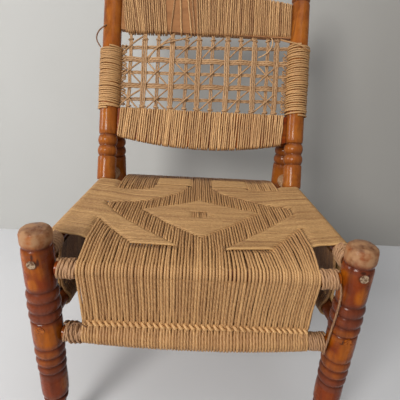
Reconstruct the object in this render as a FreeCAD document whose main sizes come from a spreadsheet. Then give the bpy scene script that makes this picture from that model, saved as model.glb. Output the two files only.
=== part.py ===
"""A low turned-wood chair with a woven cord seat, corded aprons and a leaning laced back.

Millimetres, +Z up, the front faces -Y.  The origin is on the floor, under the middle of the
chair's box.  Everything on the leaning back is laid out in the back's own frame: X sideways,
Z up along the posts from the top of the side rails, Y square to the back.
"""
import FreeCAD
import Part
import Sketcher
import math
import os

from FreeCAD import Placement, Rotation, Vector

doc = FreeCAD.newDocument("chair")

# Driving sizes

SIZES = [
    # the four legs, between their axes
    ("front_leg_spacing", 440.0),
    ("rear_leg_spacing", 406.0),
    ("leg_depth_spacing", 420.0),
    ("front_leg_height", 398.0),
    ("leg_radius", 22.5),
    # the eight rails, by the height of their axes above the floor
    ("front_rail_height", 330.0),
    ("rear_rail_height", 321.0),
    ("side_rail_height", 346.0),
    ("end_lower_rail_height", 219.0),
    ("side_lower_rail_height", 238.0),
    ("rail_diameter", 21.0),
    ("tenon_diameter", 12.0),
    ("blind_tenon_depth", 13.0),
    ("fit_clearance", 0.3),
    ("overrun", 30.0),
    # the cord and what is woven from it
    ("cord_diameter", 4.2),
    ("rear_weave_gap", 11.5),
    ("end_turns_gap", 5.2),
    ("side_weave_start", 54.0),
    ("side_weave_gap", 28.0),
    ("weave_thickness", 8.0),
    ("apron_face", 7.0),
    ("apron_roll_radius", 17.5),
    ("seat_flat_rise", 20.0),
    ("seat_flat_margin", 92.0),
    # the leaning posts of the back
    ("post_stand_off", 84.0),
    ("post_outset", 1.6),
    ("post_length", 458.0),
    ("post_radius", 20.0),
    ("post_lean", 20.5),
    ("post_tenon_length", 22.0),
    # the pegs that tie the posts to the rear legs
    ("peg_diameter", 9.0),
    ("peg_span", 46.0),
    ("peg_drop", 12.0),
    ("peg_depth", 12.0),
    # the two slats, their cord and the lacing between them, measured up the posts
    ("slat_thickness", 14.0),
    ("slat_tenon_depth", 12.0),
    ("slat_tenon_thickness", 9.0),
    ("slat_tenon_shoulder", 8.0),
    ("lower_slat_top", 149.0),
    ("lower_slat_end_height", 58.0),
    ("upper_slat_bottom", 322.5),
    ("upper_slat_end_height", 69.0),
    ("slat_bow", 19.0),
    ("slat_wrap_gap", 3.5),
    ("net_thickness", 5.0),
    ("net_pitch", 61.0),
    ("net_first_column", -135.0),
    ("net_row_pitch", 29.0),
    ("net_first_row", 178.0),
    ("thick_bundle", 16.0),
    ("thin_bundle", 8.0),
    ("winding_bottom", 149.5),
    ("winding_top", 294.0),
]

# Counts of what repeats

POST_WINDING_TURNS = 24
CORD_SIDES = 3
NET_COLUMNS = 12
NET_ROWS = 5

# Turned outlines, from the bottom up: (height share, radius share).  The crests are beads and
# barrels, the hollows between them are grooves.

LOWER_LEG_SHARES = [
    (0.000, 0.62),
    (0.018, 0.70),
    (0.120, 0.70),
    (0.120, 0.60),
    (0.192, 0.60),
    (0.226, 0.82),
    (0.241, 0.70),
    (0.262, 0.90),
    (0.345, 0.90),
    (0.366, 0.79),
    (0.386, 0.97),
    (0.406, 0.81),
    (0.424, 0.99),
    (0.446, 0.83),
    (0.468, 1.01),
    (0.490, 0.85),
    (0.490, 0.99),
    (0.610, 0.99),
    (0.610, 0.88),
    (0.632, 1.07),
    (0.654, 0.89),
    (0.676, 1.08),
    (0.698, 0.89),
    (0.721, 1.07),
    (0.744, 0.87),
    (0.744, 1.00),
]

FRONT_LEG_TOP_SHARES = [
    (0.914, 1.00),
    (0.926, 0.85),
    (0.947, 1.03),
    (0.974, 0.96),
    (1.000, 0.45),
]

REAR_LEG_TOP_SHARES = [
    (0.813, 1.00),
    (0.813, 0.86),
    (0.836, 1.03),
    (0.860, 0.86),
    (0.882, 1.03),
    (0.904, 0.84),
    (0.925, 0.97),
    (0.960, 0.97),
    (1.000, 0.50),
]

POST_SHARES = [
    (-0.020, 1.00),
    (0.095, 1.00),
    (0.095, 0.86),
    (0.120, 1.05),
    (0.145, 0.86),
    (0.171, 1.05),
    (0.197, 0.86),
    (0.197, 1.00),
    (0.880, 1.00),
    (0.880, 0.84),
    (0.898, 1.02),
    (0.917, 0.82),
    (0.940, 1.00),
    (0.970, 1.00),
    (1.000, 0.50),
]


def fill_sheet(rows):
    """One row for each driving size: its name beside its value, which carries the alias."""
    table = doc.addObject("Spreadsheet::Sheet", "sizes")
    for row, (name, value) in enumerate(rows, start=1):
        table.set(f"A{row}", name)
        table.set(f"B{row}", str(value))
        table.setAlias(f"B{row}", name)
    doc.recompute()
    return table


DRIVING = dict(SIZES)


def size(name):
    return DRIVING[name]


POST_SETBACK = size("leg_depth_spacing") - size("post_stand_off")


def rearmost_reach():
    """How far behind the front legs' axes the tops of the back posts reach."""
    lean = math.radians(size("post_lean"))
    along = size("post_length") * math.sin(lean)
    across = size("post_radius") * math.cos(lean)
    return POST_SETBACK + max(up * along + out * across for up, out in POST_SHARES)


def foremost_reach():
    """How far in front of their axes the front legs' fattest beads reach."""
    return size("leg_radius") * max(out for up, out in LOWER_LEG_SHARES)


# Places that more than one piece follows

FRONT_Y = (foremost_reach() - rearmost_reach()) / 2
FOOT_Y = FRONT_Y + POST_SETBACK
FOOT_Z = size("side_rail_height") + size("rail_diameter") / 2
PEG_RISE = (size("post_stand_off") - size("peg_span")) / math.tan(math.radians(size("post_lean")))
PEG_HEIGHT = FOOT_Z + PEG_RISE
SIDE_INSET = (size("front_leg_spacing") - size("rear_leg_spacing")) / 2
WEAVE_WIDTH = size("rear_leg_spacing") - 2 * (size("leg_radius") + size("rear_weave_gap"))
TURNS_WIDTH = (size("front_leg_spacing") - WEAVE_WIDTH) / 2 - size("leg_radius") - size("fit_clearance")
RAIL_AT_POST = size("front_leg_spacing") / 2 - SIDE_INSET * POST_SETBACK / size("leg_depth_spacing")
POST_SPACING = 2 * (RAIL_AT_POST + size("post_outset"))
BACK_FRAME = Placement(Vector(0, FOOT_Y, FOOT_Z), Rotation(Vector(1, 0, 0), -size("post_lean")))
DERIVED = [
    ("front_y", FRONT_Y),
    ("rear_y", FRONT_Y + size("leg_depth_spacing")),
    ("end_weave_width", WEAVE_WIDTH),
    ("end_turns_width", TURNS_WIDTH - size("end_turns_gap")),
    ("foot_y", FOOT_Y),
    ("foot_z", FOOT_Z),
    ("side_run", math.hypot(size("leg_depth_spacing"), SIDE_INSET)),
    ("side_angle", math.degrees(math.atan2(SIDE_INSET, size("leg_depth_spacing")))),
    ("wrapped_radius", size("rail_diameter") / 2 + size("cord_diameter")),
    ("post_setback", POST_SETBACK),
    ("post_spacing", POST_SPACING),
    ("side_weave_end", POST_SETBACK - size("side_weave_gap")),
    ("peg_height", PEG_HEIGHT),
    ("rear_leg_height", PEG_HEIGHT + size("peg_drop")),
    ("wrap_reach", size("fit_clearance") + size("cord_diameter")),
]
SIDES = (("left", -1), ("right", 1))

sheet = fill_sheet(SIZES + DERIVED)

# Formulas, in the sheet's names

front_x = "sizes.front_leg_spacing / 2"
rear_x = "sizes.rear_leg_spacing / 2"
post_x = "sizes.post_spacing / 2"
rail_radius = "sizes.rail_diameter / 2"
bore_radius = "(sizes.rail_diameter / 2 + sizes.fit_clearance)"
drill_radius = "(sizes.tenon_diameter / 2 + sizes.fit_clearance)"
leg_face = "(sizes.leg_radius + sizes.fit_clearance)"
tenon_stop = "(sizes.leg_radius - sizes.blind_tenon_depth)"
back_frame = "placement(vector(0; sizes.foot_y; sizes.foot_z); rotation(vector(1; 0; 0); -sizes.post_lean))"


def bind(item, **formulas):
    """Ties an object's properties to the sheet."""
    for name, formula in formulas.items():
        item.setExpression(name, formula)


def number(formula):
    """What a formula comes to now."""
    return float(sheet.evalExpression(formula))


def across(start, y, height):
    """A place whose own Z runs along +X."""
    return f"placement(vector({start}; {y}; {height}); rotation(vector(0; 1; 0); 90))"


def side_frame(side, height):
    """A frame on a side rail's line at the front leg's axis, with its own Y along the rail."""
    foot = f"vector({side} * {front_x}; sizes.front_y; {height})"
    return f"placement({foot}; rotation(vector(0; 0; 1); {side} * sizes.side_angle))"


def along_side(side, start, height):
    """A place on a side rail's line whose own Z runs to the back."""
    return f"{side_frame(side, height)} * placement(vector(0; {start}; 0); rotation(vector(1; 0; 0); -90))"


def in_back(x, y, up):
    """A place in the leaning back's frame."""
    return f"{back_frame} * placement(vector({x}; {y}; {up}); rotation(vector(0; 0; 1); 0))"


# Ways of making a piece


def rod(name, radius, length, place):
    """A round rod.  It starts at the place and runs along the place's own Z."""
    item = doc.addObject("Part::Cylinder", name)
    bind(item, Radius=radius, Height=length, Placement=place)
    return item


def block(name, wide, deep, tall, place):
    """A box.  The place is its left front bottom corner."""
    item = doc.addObject("Part::Box", name)
    bind(item, Length=wide, Width=deep, Height=tall, Placement=place)
    return item


def joined(name, shapes):
    item = doc.addObject("Part::MultiFuse", name)
    item.Shapes = shapes
    item.Refine = True
    return item


def cut(name, base, tool):
    item = doc.addObject("Part::Cut", name)
    item.Base = base
    item.Tool = tool
    return item


def plane_of(body, role):
    return [feature for feature in body.Origin.OriginFeatures if feature.Role == role][0]


def outline_sketch(body, role, corners, bows=None):
    """A closed outline through corners given as formulas.  A bow makes the stretch after a
    corner a round one of that rise, outwards where the corners run anticlockwise."""
    sketch = body.newObject("Sketcher::SketchObject", f"{body.Name}_outline")
    sketch.AttachmentSupport = [(plane_of(body, role), "")]
    sketch.MapMode = "FlatFace"
    bows = bows or {}
    points = [Vector(number(x), number(y), 0) for x, y in corners]
    first_ends = []
    for index, start in enumerate(points):
        end = points[(index + 1) % len(points)]
        if index in bows:
            chord = end - start
            outward = Vector(chord.y, -chord.x, 0).normalize()
            crest = (start + end) / 2 + outward * number(bows[index])
            sketch.addGeometry(Part.Arc(start, crest, end), False)
        else:
            sketch.addGeometry(Part.LineSegment(start, end), False)
        # an arc runs anticlockwise, so its first end can be the later corner
        forward = sketch.Geometry[index].StartPoint.distanceToPoint(start) < size("fit_clearance")
        first_ends.append(1 if forward else 2)
    for index, first in enumerate(first_ends):
        following = (index + 1) % len(points)
        last = 3 - first
        sketch.addConstraint(Sketcher.Constraint("Coincident", index, last, following, first_ends[following]))
        for kind, place, formula in (("DistanceX", points[index].x, corners[index][0]),
                                     ("DistanceY", points[index].y, corners[index][1])):
            spot = sketch.addConstraint(Sketcher.Constraint(kind, -1, 1, index, first, place))
            sketch.setExpression(f"Constraints[{spot}]", formula)
        if index in bows:
            (x1, y1), (x2, y2) = corners[index], corners[following]
            half_chord = f"(({x2} - ({x1}))^2 + ({y2} - ({y1}))^2) / 4"
            radius = f"({half_chord} + ({bows[index]})^2) / (2 * ({bows[index]}))"
            spot = sketch.addConstraint(Sketcher.Constraint("Radius", index, number(radius)))
            sketch.setExpression(f"Constraints[{spot}]", radius)
    sketch.Visibility = False
    return sketch


def turned(name, radius, stretches, place):
    """A lathe-turned body: (length cell, shares) for each stretch of its outline, bottom up."""
    body = doc.addObject("PartDesign::Body", name)
    stations = [(f"sizes.{radius} * {out}", f"sizes.{length} * {up}")
                for length, shares in stretches for up, out in shares]
    ends = [("0", stations[-1][1]), ("0", stations[0][1])]
    sketch = outline_sketch(body, "XZ_Plane", stations + ends)
    turn = body.newObject("PartDesign::Revolution", f"{name}_turning")
    turn.Profile = sketch
    turn.ReferenceAxis = (sketch, ["V_Axis"])
    turn.Angle = 360.0
    bind(body, Placement=place)
    return body


def plate(name, role, corners, thickness, place, bows=None):
    """A plate with an outline in the given plane, as thick to one side of it as to the other."""
    body = doc.addObject("PartDesign::Body", name)
    sketch = outline_sketch(body, role, corners, bows)
    pad = body.newObject("PartDesign::Pad", f"{name}_pad")
    pad.Profile = sketch
    pad.Midplane = True
    bind(pad, Length=thickness)
    bind(body, Placement=place)
    return body


# Rails, with the drills that their tenons need in the legs


def end_rail(name, spacing, y, height):
    """A rail across the front or the back, with a blind tenon in each leg."""
    shoulder = f"(sizes.{spacing} / 2 - {leg_face})"
    reach = f"(sizes.{spacing} / 2 - {tenon_stop})"
    core = rod(f"{name}_core", rail_radius, f"2 * {shoulder}", across(f"-{shoulder}", y, height))
    tenon = rod(f"{name}_tenon", "sizes.tenon_diameter / 2", f"2 * {reach}", across(f"-{reach}", y, height))
    room = f"({reach} + sizes.fit_clearance)"
    drill = rod(f"{name}_drill", drill_radius, f"2 * {room}", across(f"-{room}", y, height))
    return joined(name, [core, tenon]), drill


def side_rail(name, side, height):
    """A rail along one side.  Its front tenon shows on the face of the front leg."""
    core_length = f"sizes.side_run - 2 * {leg_face}"
    core = rod(f"{name}_core", rail_radius, core_length, along_side(side, leg_face, height))
    tenon_length = f"sizes.side_run + sizes.leg_radius - {tenon_stop}"
    tenon = rod(f"{name}_tenon", "sizes.tenon_diameter / 2", tenon_length,
                along_side(side, "-sizes.leg_radius", height))
    drill_length = f"sizes.side_run + sizes.overrun - {tenon_stop} + sizes.fit_clearance"
    drill = rod(f"{name}_drill", drill_radius, drill_length, along_side(side, "-sizes.overrun", height))
    return joined(name, [core, tenon]), drill


END_RAILS = {
    "front_seat_rail": ("front_leg_spacing", "sizes.front_y", "sizes.front_rail_height"),
    "front_lower_rail": ("front_leg_spacing", "sizes.front_y", "sizes.end_lower_rail_height"),
    "rear_seat_rail": ("rear_leg_spacing", "sizes.rear_y", "sizes.rear_rail_height"),
    "rear_lower_rail": ("rear_leg_spacing", "sizes.rear_y", "sizes.end_lower_rail_height"),
}
SIDE_RAILS = {"seat_rail": "sizes.side_rail_height", "lower_rail": "sizes.side_lower_rail_height"}

nodes = {}
drills = []
for name, (spacing, y, height) in END_RAILS.items():
    nodes[name], drill = end_rail(name, spacing, y, height)
    drills.append(drill)
for hand, side in SIDES:
    for kind, height in SIDE_RAILS.items():
        name = f"{hand}_{kind}" if kind == "lower_rail" else f"{hand}_{kind}_plain"
        nodes[name], drill = side_rail(name, side, height)
        drills.append(drill)

# Pegs between the rear legs and the posts

peg_x = f"(({rear_x} + {post_x}) / 2)"
post_axis_y = "(sizes.foot_y + (sizes.peg_height - sizes.foot_z) * tan(sizes.post_lean * 1deg))"
peg_front = f"({post_axis_y} + sizes.post_radius - sizes.peg_depth)"
peg_back = "(sizes.rear_y - sizes.leg_radius + sizes.peg_depth)"


def backward(x, y, height):
    """A place whose own Z runs along +Y."""
    return f"placement(vector({x}; {y}; {height}); rotation(vector(1; 0; 0); -90))"


for hand, side in SIDES:
    name = f"back_peg_{hand}"
    place = backward(f"{side} * {peg_x}", peg_front, "sizes.peg_height")
    nodes[name] = rod(name, "sizes.peg_diameter / 2", f"{peg_back} - {peg_front}", place)
    looser = "sizes.peg_diameter / 2 + sizes.fit_clearance"
    start = f"({peg_front} - sizes.fit_clearance)"
    place = backward(f"{side} * {peg_x}", start, "sizes.peg_height")
    drills.append(rod(f"{name}_drill", looser, f"{peg_back} + sizes.fit_clearance - {start}", place))

# Legs

all_drills = joined("drills", drills)
FRONT_LEG = [("front_leg_height", LOWER_LEG_SHARES + FRONT_LEG_TOP_SHARES)]
REAR_LEG = [("front_leg_height", LOWER_LEG_SHARES), ("rear_leg_height", REAR_LEG_TOP_SHARES)]
for row, stretches, x, y in (("front", FRONT_LEG, front_x, "sizes.front_y"), ("rear", REAR_LEG, rear_x, "sizes.rear_y")):
    for hand, side in SIDES:
        name = f"{row}_leg_{hand}"
        place = f"placement(vector({side} * {x}; {y}; 0); rotation(vector(0; 0; 1); 0))"
        blank = turned(f"{name}_blank", "leg_radius", stretches, place)
        nodes[name] = cut(name, blank, all_drills)

# Slats and their cord

board_half = f"({post_x} - sizes.post_radius - sizes.fit_clearance)"
tenon_half = f"({post_x} - sizes.post_radius + sizes.slat_tenon_depth)"
wrap_half = f"({board_half} - sizes.slat_wrap_gap)"


def slat_outline(half, low, high, bows_down, grow):
    """The corners of a slat with one straight edge and one bowed edge, grown all round."""
    corners = [
        (f"-{half}", f"{low} - {grow}"),
        (half, f"{low} - {grow}"),
        (half, f"{high} + {grow}"),
        (f"-{half}", f"{high} + {grow}"),
    ]
    return corners, {0 if bows_down else 2: "sizes.slat_bow"}


def slat(name, low, high, bows_down):
    """A board with a tenon at each end, the mortise cutter of its tenons and its cord sleeve."""
    place = back_frame
    corners, bows = slat_outline(board_half, low, high, bows_down, "0")
    board = plate(f"{name}_board", "XZ_Plane", corners, "sizes.slat_thickness", place, bows)
    tenon_height = f"({high} - {low} - 2 * sizes.slat_tenon_shoulder)"
    tenon = block(f"{name}_tenon", f"2 * {tenon_half}", "sizes.slat_tenon_thickness", tenon_height,
                  in_back(f"-{tenon_half}", "-sizes.slat_tenon_thickness / 2", f"{low} + sizes.slat_tenon_shoulder"))
    room = "sizes.fit_clearance"
    mortise = block(f"{name}_mortise", f"2 * ({tenon_half} + {room})", f"sizes.slat_tenon_thickness + 2 * {room}",
                    f"{tenon_height} + 2 * {room}",
                    in_back(f"-({tenon_half} + {room})", f"-(sizes.slat_tenon_thickness / 2 + {room})",
                            f"{low} + sizes.slat_tenon_shoulder - {room}"))
    corners, bows = slat_outline(wrap_half, low, high, bows_down, "sizes.wrap_reach")
    skin = plate(f"{name}_skin", "XZ_Plane", corners, "sizes.slat_thickness + 2 * sizes.wrap_reach", place, bows)
    corners, bows = slat_outline(board_half, low, high, bows_down, room)
    core = plate(f"{name}_core", "XZ_Plane", corners, f"sizes.slat_thickness + 2 * {room}", place, bows)
    return joined(name, [board, tenon]), mortise, cut(name.replace("back_slat", "slat_wrap"), skin, core)


upper_low = "sizes.upper_slat_bottom"
upper_high = "(sizes.upper_slat_bottom + sizes.upper_slat_end_height)"
lower_low = "(sizes.lower_slat_top - sizes.lower_slat_end_height)"
lower_high = "sizes.lower_slat_top"
nodes["upper_back_slat"], upper_mortise, nodes["upper_slat_wrap"] = slat(
    "upper_back_slat", upper_low, upper_high, False)
nodes["lower_back_slat"], lower_mortise, nodes["lower_slat_wrap"] = slat(
    "lower_back_slat", lower_low, lower_high, True)

# Back posts: turned, cut level at the foot, tenoned into the side rails

foot_drills = []
for hand, side in SIDES:
    name = f"back_post_{hand}"
    blank = turned(f"{name}_blank", "post_radius", [("post_length", POST_SHARES)], in_back(f"{side} * {post_x}", "0", "0"))
    reach = "2 * sizes.overrun"
    corner = f"vector({side} * {post_x} - sizes.overrun; sizes.foot_y - sizes.overrun; "
    corner += f"sizes.foot_z + sizes.fit_clearance - {reach})"
    below = block(f"{name}_level", reach, reach, reach, f"placement({corner}; rotation(vector(0; 0; 1); 0))")
    level = cut(f"{name}_levelled", blank, below)
    tenon_length = "sizes.post_tenon_length + sizes.post_radius"
    tenon = rod(f"{name}_tenon", "sizes.tenon_diameter / 2", tenon_length,
                in_back(f"{side} * {post_x}", "0", "-sizes.post_tenon_length"))
    whole = joined(f"{name}_whole", [level, tenon])
    holes = joined(f"{name}_holes", [upper_mortise, lower_mortise, all_drills])
    nodes[name] = cut(name, whole, holes)
    drill = rod(f"{name}_drill", drill_radius, "2 * sizes.overrun",
                in_back(f"{side} * {post_x}", "0", "-sizes.overrun - sizes.rail_diameter"))
    rail_name = f"{hand}_seat_rail"
    nodes[rail_name] = cut(rail_name, nodes.pop(f"{rail_name}_plain"), drill)

# The woven seat: front-to-back cords over side-to-side cords, and their turns round the rails

flat_top = "(sizes.front_rail_height + sizes.seat_flat_rise)"


def sagging_plate(name, role, near, near_top, far, far_top, width, place):
    """A woven layer that runs from one rail's top through the seat's flat to another's."""
    inner_near = f"({near} + sizes.seat_flat_margin)"
    inner_far = f"({far} - sizes.seat_flat_margin)"
    line = [(near, near_top), (inner_near, flat_top), (inner_far, flat_top), (far, far_top)]
    under = [(along, f"{top} - sizes.weave_thickness") for along, top in line]
    return plate(name, role, under + line[::-1], width, place)


end_half = "sizes.end_weave_width / 2"
side_length = "(sizes.side_weave_end - sizes.side_weave_start)"
side_middle = "(sizes.side_weave_end + sizes.side_weave_start) / 2"
side_x = f"(({front_x} + {rear_x}) / 2)"
layer_height = "(sizes.wrapped_radius - sizes.fit_clearance)"
side_top = f"(sizes.side_rail_height + {layer_height})"
lengthwise = sagging_plate(
    "seat_lengthwise", "YZ_Plane", "sizes.front_y", f"(sizes.front_rail_height + {layer_height})",
    "sizes.rear_y", f"(sizes.rear_rail_height + {layer_height})", "sizes.end_weave_width",
    "placement(vector(0; 0; 0); rotation(vector(0; 0; 1); 0))")
crosswise = sagging_plate(
    "seat_crosswise", "XZ_Plane", f"-{side_x}", side_top, side_x, side_top, side_length,
    f"placement(vector(0; sizes.front_y + {side_middle}; 0); rotation(vector(0; 0; 1); 0))")
seat_sleeves = []
seat_bores = []
for name in ("front_seat_rail", "rear_seat_rail"):
    spacing, y, height = END_RAILS[name]
    seat_sleeves.append(rod(f"{name}_sleeve", "sizes.wrapped_radius", "sizes.end_weave_width",
                            across(f"-{end_half}", y, height)))
    seat_bores.append(rod(f"{name}_bore", bore_radius, f"sizes.{spacing}", across(f"-sizes.{spacing} / 2", y, height)))
for hand, side in SIDES:
    height = SIDE_RAILS["seat_rail"]
    seat_sleeves.append(rod(f"{hand}_seat_rail_sleeve", "sizes.wrapped_radius", side_length,
                            along_side(side, "sizes.side_weave_start", height)))
    seat_bores.append(rod(f"{hand}_seat_rail_bore", bore_radius, "sizes.side_run", along_side(side, "0", height)))
nodes["seat_weave"] = cut("seat_weave", joined("seat_layers", [lengthwise, crosswise] + seat_sleeves),
                          joined("seat_bores", seat_bores))

# Corded aprons: a panel of cords outside each pair of rails, carried round the lower rail

gap_radius = "sizes.wrapped_radius + sizes.fit_clearance"


def apron(name, panel, lower_sleeve, lower_bore, upper_room):
    nodes[name] = cut(name, joined(f"{name}_cords", [panel, lower_sleeve]),
                      joined(f"{name}_room", [lower_bore, upper_room]))


for row, facing in (("front", -1), ("rear", 1)):
    spacing, y, top = END_RAILS[f"{row}_seat_rail"]
    bottom = END_RAILS[f"{row}_lower_rail"][2]
    name = f"{row}_apron_weave"
    face_y = "sizes.apron_face" if facing < 0 else "(sizes.weave_thickness - sizes.apron_face)"
    panel = block(f"{name}_panel", "sizes.end_weave_width", "sizes.weave_thickness", f"{top} - {bottom}",
                  f"placement(vector(-{end_half}; {y} - {face_y}; {bottom}); rotation(vector(0; 0; 1); 0))")
    apron(name, panel,
          rod(f"{name}_sleeve", "sizes.apron_roll_radius", "sizes.end_weave_width", across(f"-{end_half}", y, bottom)),
          rod(f"{name}_bore", bore_radius, f"sizes.{spacing}", across(f"-sizes.{spacing} / 2", y, bottom)),
          rod(f"{name}_upper", gap_radius, f"sizes.{spacing}", across(f"-sizes.{spacing} / 2", y, top)))
for hand, side in SIDES:
    name = f"{hand}_apron_weave"
    bottom = SIDE_RAILS["lower_rail"]
    rise = f"{SIDE_RAILS['seat_rail']} - {bottom}"
    face_x = "-sizes.apron_face" if side < 0 else "(sizes.apron_face - sizes.weave_thickness)"
    place = f"{side_frame(side, bottom)} * placement(vector({face_x}; sizes.side_weave_start; 0); "
    place += "rotation(vector(0; 0; 1); 0))"
    panel = block(f"{name}_panel", "sizes.weave_thickness", side_length, rise, place)
    apron(name, panel,
          rod(f"{name}_sleeve", "sizes.apron_roll_radius", side_length,
              along_side(side, "sizes.side_weave_start", bottom)),
          rod(f"{name}_bore", bore_radius, "sizes.side_run", along_side(side, "0", bottom)),
          rod(f"{name}_upper", gap_radius, "sizes.side_run", along_side(side, "0", SIDE_RAILS["seat_rail"])))

# Turns of cord between the weave and the legs, as sleeves

end_turns = []
turn_bores = list(seat_bores)
for name in ("front_seat_rail", "front_lower_rail"):
    spacing, y, height = END_RAILS[name]
    turns_start = f"(sizes.{spacing} / 2 - {leg_face} - sizes.end_turns_width)"
    for hand, start in (("left", f"-({turns_start} + sizes.end_turns_width)"), ("right", turns_start)):
        end_turns.append(rod(f"{name}_{hand}_turns", "sizes.wrapped_radius", "sizes.end_turns_width",
                             across(start, y, height)))
turn_bores.append(doc.getObject("front_apron_weave_bore"))
for hand, side in SIDES:
    height = SIDE_RAILS["seat_rail"]
    near_end = f"(sizes.side_weave_start - sizes.fit_clearance - {leg_face})"
    end_turns.append(rod(f"{hand}_near_turns", "sizes.wrapped_radius", near_end, along_side(side, leg_face, height)))
    behind_post = "(sizes.post_setback + sizes.post_radius + sizes.cord_diameter)"
    far_end = f"sizes.side_run - {leg_face} - {behind_post}"
    end_turns.append(rod(f"{hand}_far_turns", "sizes.wrapped_radius", far_end, along_side(side, behind_post, height)))
nodes["rail_end_turns"] = cut("rail_end_turns", joined("turn_sleeves", end_turns), joined("turn_bores", turn_bores))


# Turns of cord round the posts: one unbroken tube on each


def winding(x, start, end, radius):
    """Half turns that tilt one way and then the other, so that the tube climbs without a kink."""
    half_pitch = (end - start) / POST_WINDING_TURNS / 2
    edges = []
    for step in range(2 * POST_WINDING_TURNS):
        hand = 1 if step % 2 == 0 else -1
        low = start + step * half_pitch
        first = Vector(x + hand * radius, 0, low)
        last = Vector(x - hand * radius, 0, low + half_pitch)
        middle = Vector(x, hand * math.hypot(radius, half_pitch / 2), low + half_pitch / 2)
        edges.append(Part.Arc(first, middle, last).toShape())
    path = Part.Wire(edges)
    cord = size("cord_diameter") / 2
    angles = [2 * math.pi * side / CORD_SIDES for side in range(CORD_SIDES)]
    section = [Vector(x + radius + cord * math.cos(angle), 0, start + cord * math.sin(angle)) for angle in angles]
    return path, path.makePipeShell([Part.makePolygon(section + section[:1])], True, False)


winding_radius = size("post_radius") + size("fit_clearance") + size("cord_diameter") / 2
tubes = []
for hand, side in SIDES:
    path, tube = winding(side * POST_SPACING / 2, size("winding_bottom"), size("winding_top"), winding_radius)
    tubes.append(tube)
turns_apart = (size("winding_top") - size("winding_bottom")) / POST_WINDING_TURNS
print(f"the winding's least gap to itself is {turns_apart - size('cord_diameter'):.2f} mm")
windings = doc.addObject("Part::Feature", "post_windings")
windings.Shape = Part.makeCompound(tubes)
windings.Placement = BACK_FRAME
nodes["post_windings"] = windings

# The laced back: bundles of cord up and across, with single cords slantwise in each gap


def net_face():
    """The lacing as one holed face, in the back's X and Z."""
    reach = POST_SPACING / 2 - winding_radius - size("cord_diameter") / 2 - size("fit_clearance")
    low = size("lower_slat_top") + size("fit_clearance") * 2 + size("cord_diameter")
    high = size("upper_slat_bottom") - size("fit_clearance") * 2 - size("cord_diameter")
    thick = size("thick_bundle")
    thin = size("thin_bundle")
    half_pitch = size("net_pitch") / 2
    columns = [(size("net_first_column") + (step - 1) * half_pitch, step % 2 == 1) for step in range(NET_COLUMNS)]
    rows = [(size("net_first_row") + step * size("net_row_pitch"), step % 2 == 1) for step in range(NET_ROWS)]
    far = size("overrun")
    uprights = [(-reach - far, False, 0)] + [(x, wide, thick if wide else thin) for x, wide in columns]
    uprights.append((reach + far, True, 0))
    levels = [(low - far, True, 0)] + [(up, wide, thick if wide else thin) for up, wide in rows]
    levels.append((high + far, True, 0))
    sheet_face = Part.makePolygon([Vector(x, 0, z) for x, z in (
        (-reach, low), (reach, low), (reach, high), (-reach, high), (-reach, low))])
    holes = []
    for (x1, wide1, w1), (x2, wide2, w2) in zip(uprights, uprights[1:]):
        for (z1, tall1, h1), (z2, tall2, h2) in zip(levels, levels[1:]):
            left, right = max(x1 + w1 / 2, -reach - far), min(x2 - w2 / 2, reach + far)
            bottom, top = z1 + h1 / 2, z2 - h2 / 2
            rising = wide1 == tall1
            holes += gap_halves(left, right, bottom, top, rising)
    return Part.Face(sheet_face), holes


def gap_halves(left, right, bottom, top, rising):
    """The two triangles that a slanting cord leaves of a gap."""
    span = math.hypot(right - left, top - bottom)
    step_x = size("cord_diameter") / 2 * span / (top - bottom)
    step_z = size("cord_diameter") / 2 * span / (right - left)
    if rising:
        halves = [[(left, bottom + step_z), (right - step_x, top), (left, top)],
                  [(left + step_x, bottom), (right, bottom), (right, top - step_z)]]
    else:
        halves = [[(left + step_x, top), (right, bottom + step_z), (right, top)],
                  [(left, bottom), (right - step_x, bottom), (left, top - step_z)]]
    return [Part.Face(Part.makePolygon([Vector(x, 0, z) for x, z in half + half[:1]])) for half in halves]


face, gaps = net_face()
lacing = face.cut(Part.makeCompound(gaps))
net = doc.addObject("Part::Feature", "back_net")
lacing.translate(Vector(0, -size("net_thickness") / 2, 0))
net.Shape = lacing.extrude(Vector(0, size("net_thickness"), 0))
net.Placement = BACK_FRAME
nodes["back_net"] = net
print(f"the net has {len(gaps)} gaps")

# Check everything, then write one file for each piece

doc.recompute()
for item in doc.Objects:
    for state in ("Invalid", "Error"):
        if state in item.State:
            raise RuntimeError(f"{item.Name} is {state}")
for name, item in nodes.items():
    item.Label = name
    if item.Shape.isNull() or not item.Shape.isValid():
        raise RuntimeError(f"{name} has no sound shape")
os.makedirs("parts", exist_ok=True)
for name, item in nodes.items():
    item.Shape.exportStep(f"parts/{name}.step")
print(f"{len(nodes)} pieces written")
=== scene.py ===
# %% [markdown]
# # A lamu chair: turned wood and woven cord
# The chair is a low armless one from the East African coast. Four turned legs carry eight rails,
# two leaning posts carry two bowed slats, and everything between them is cord: the seat with its
# woven diamonds, the aprons, the wrapped slats, the laced back and the windings on the posts.
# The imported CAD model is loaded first. It is the frame that every piece here has to fit.

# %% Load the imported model
import math
import random

import bmesh
import bpy
from mathutils import Matrix, Vector, noise


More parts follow.
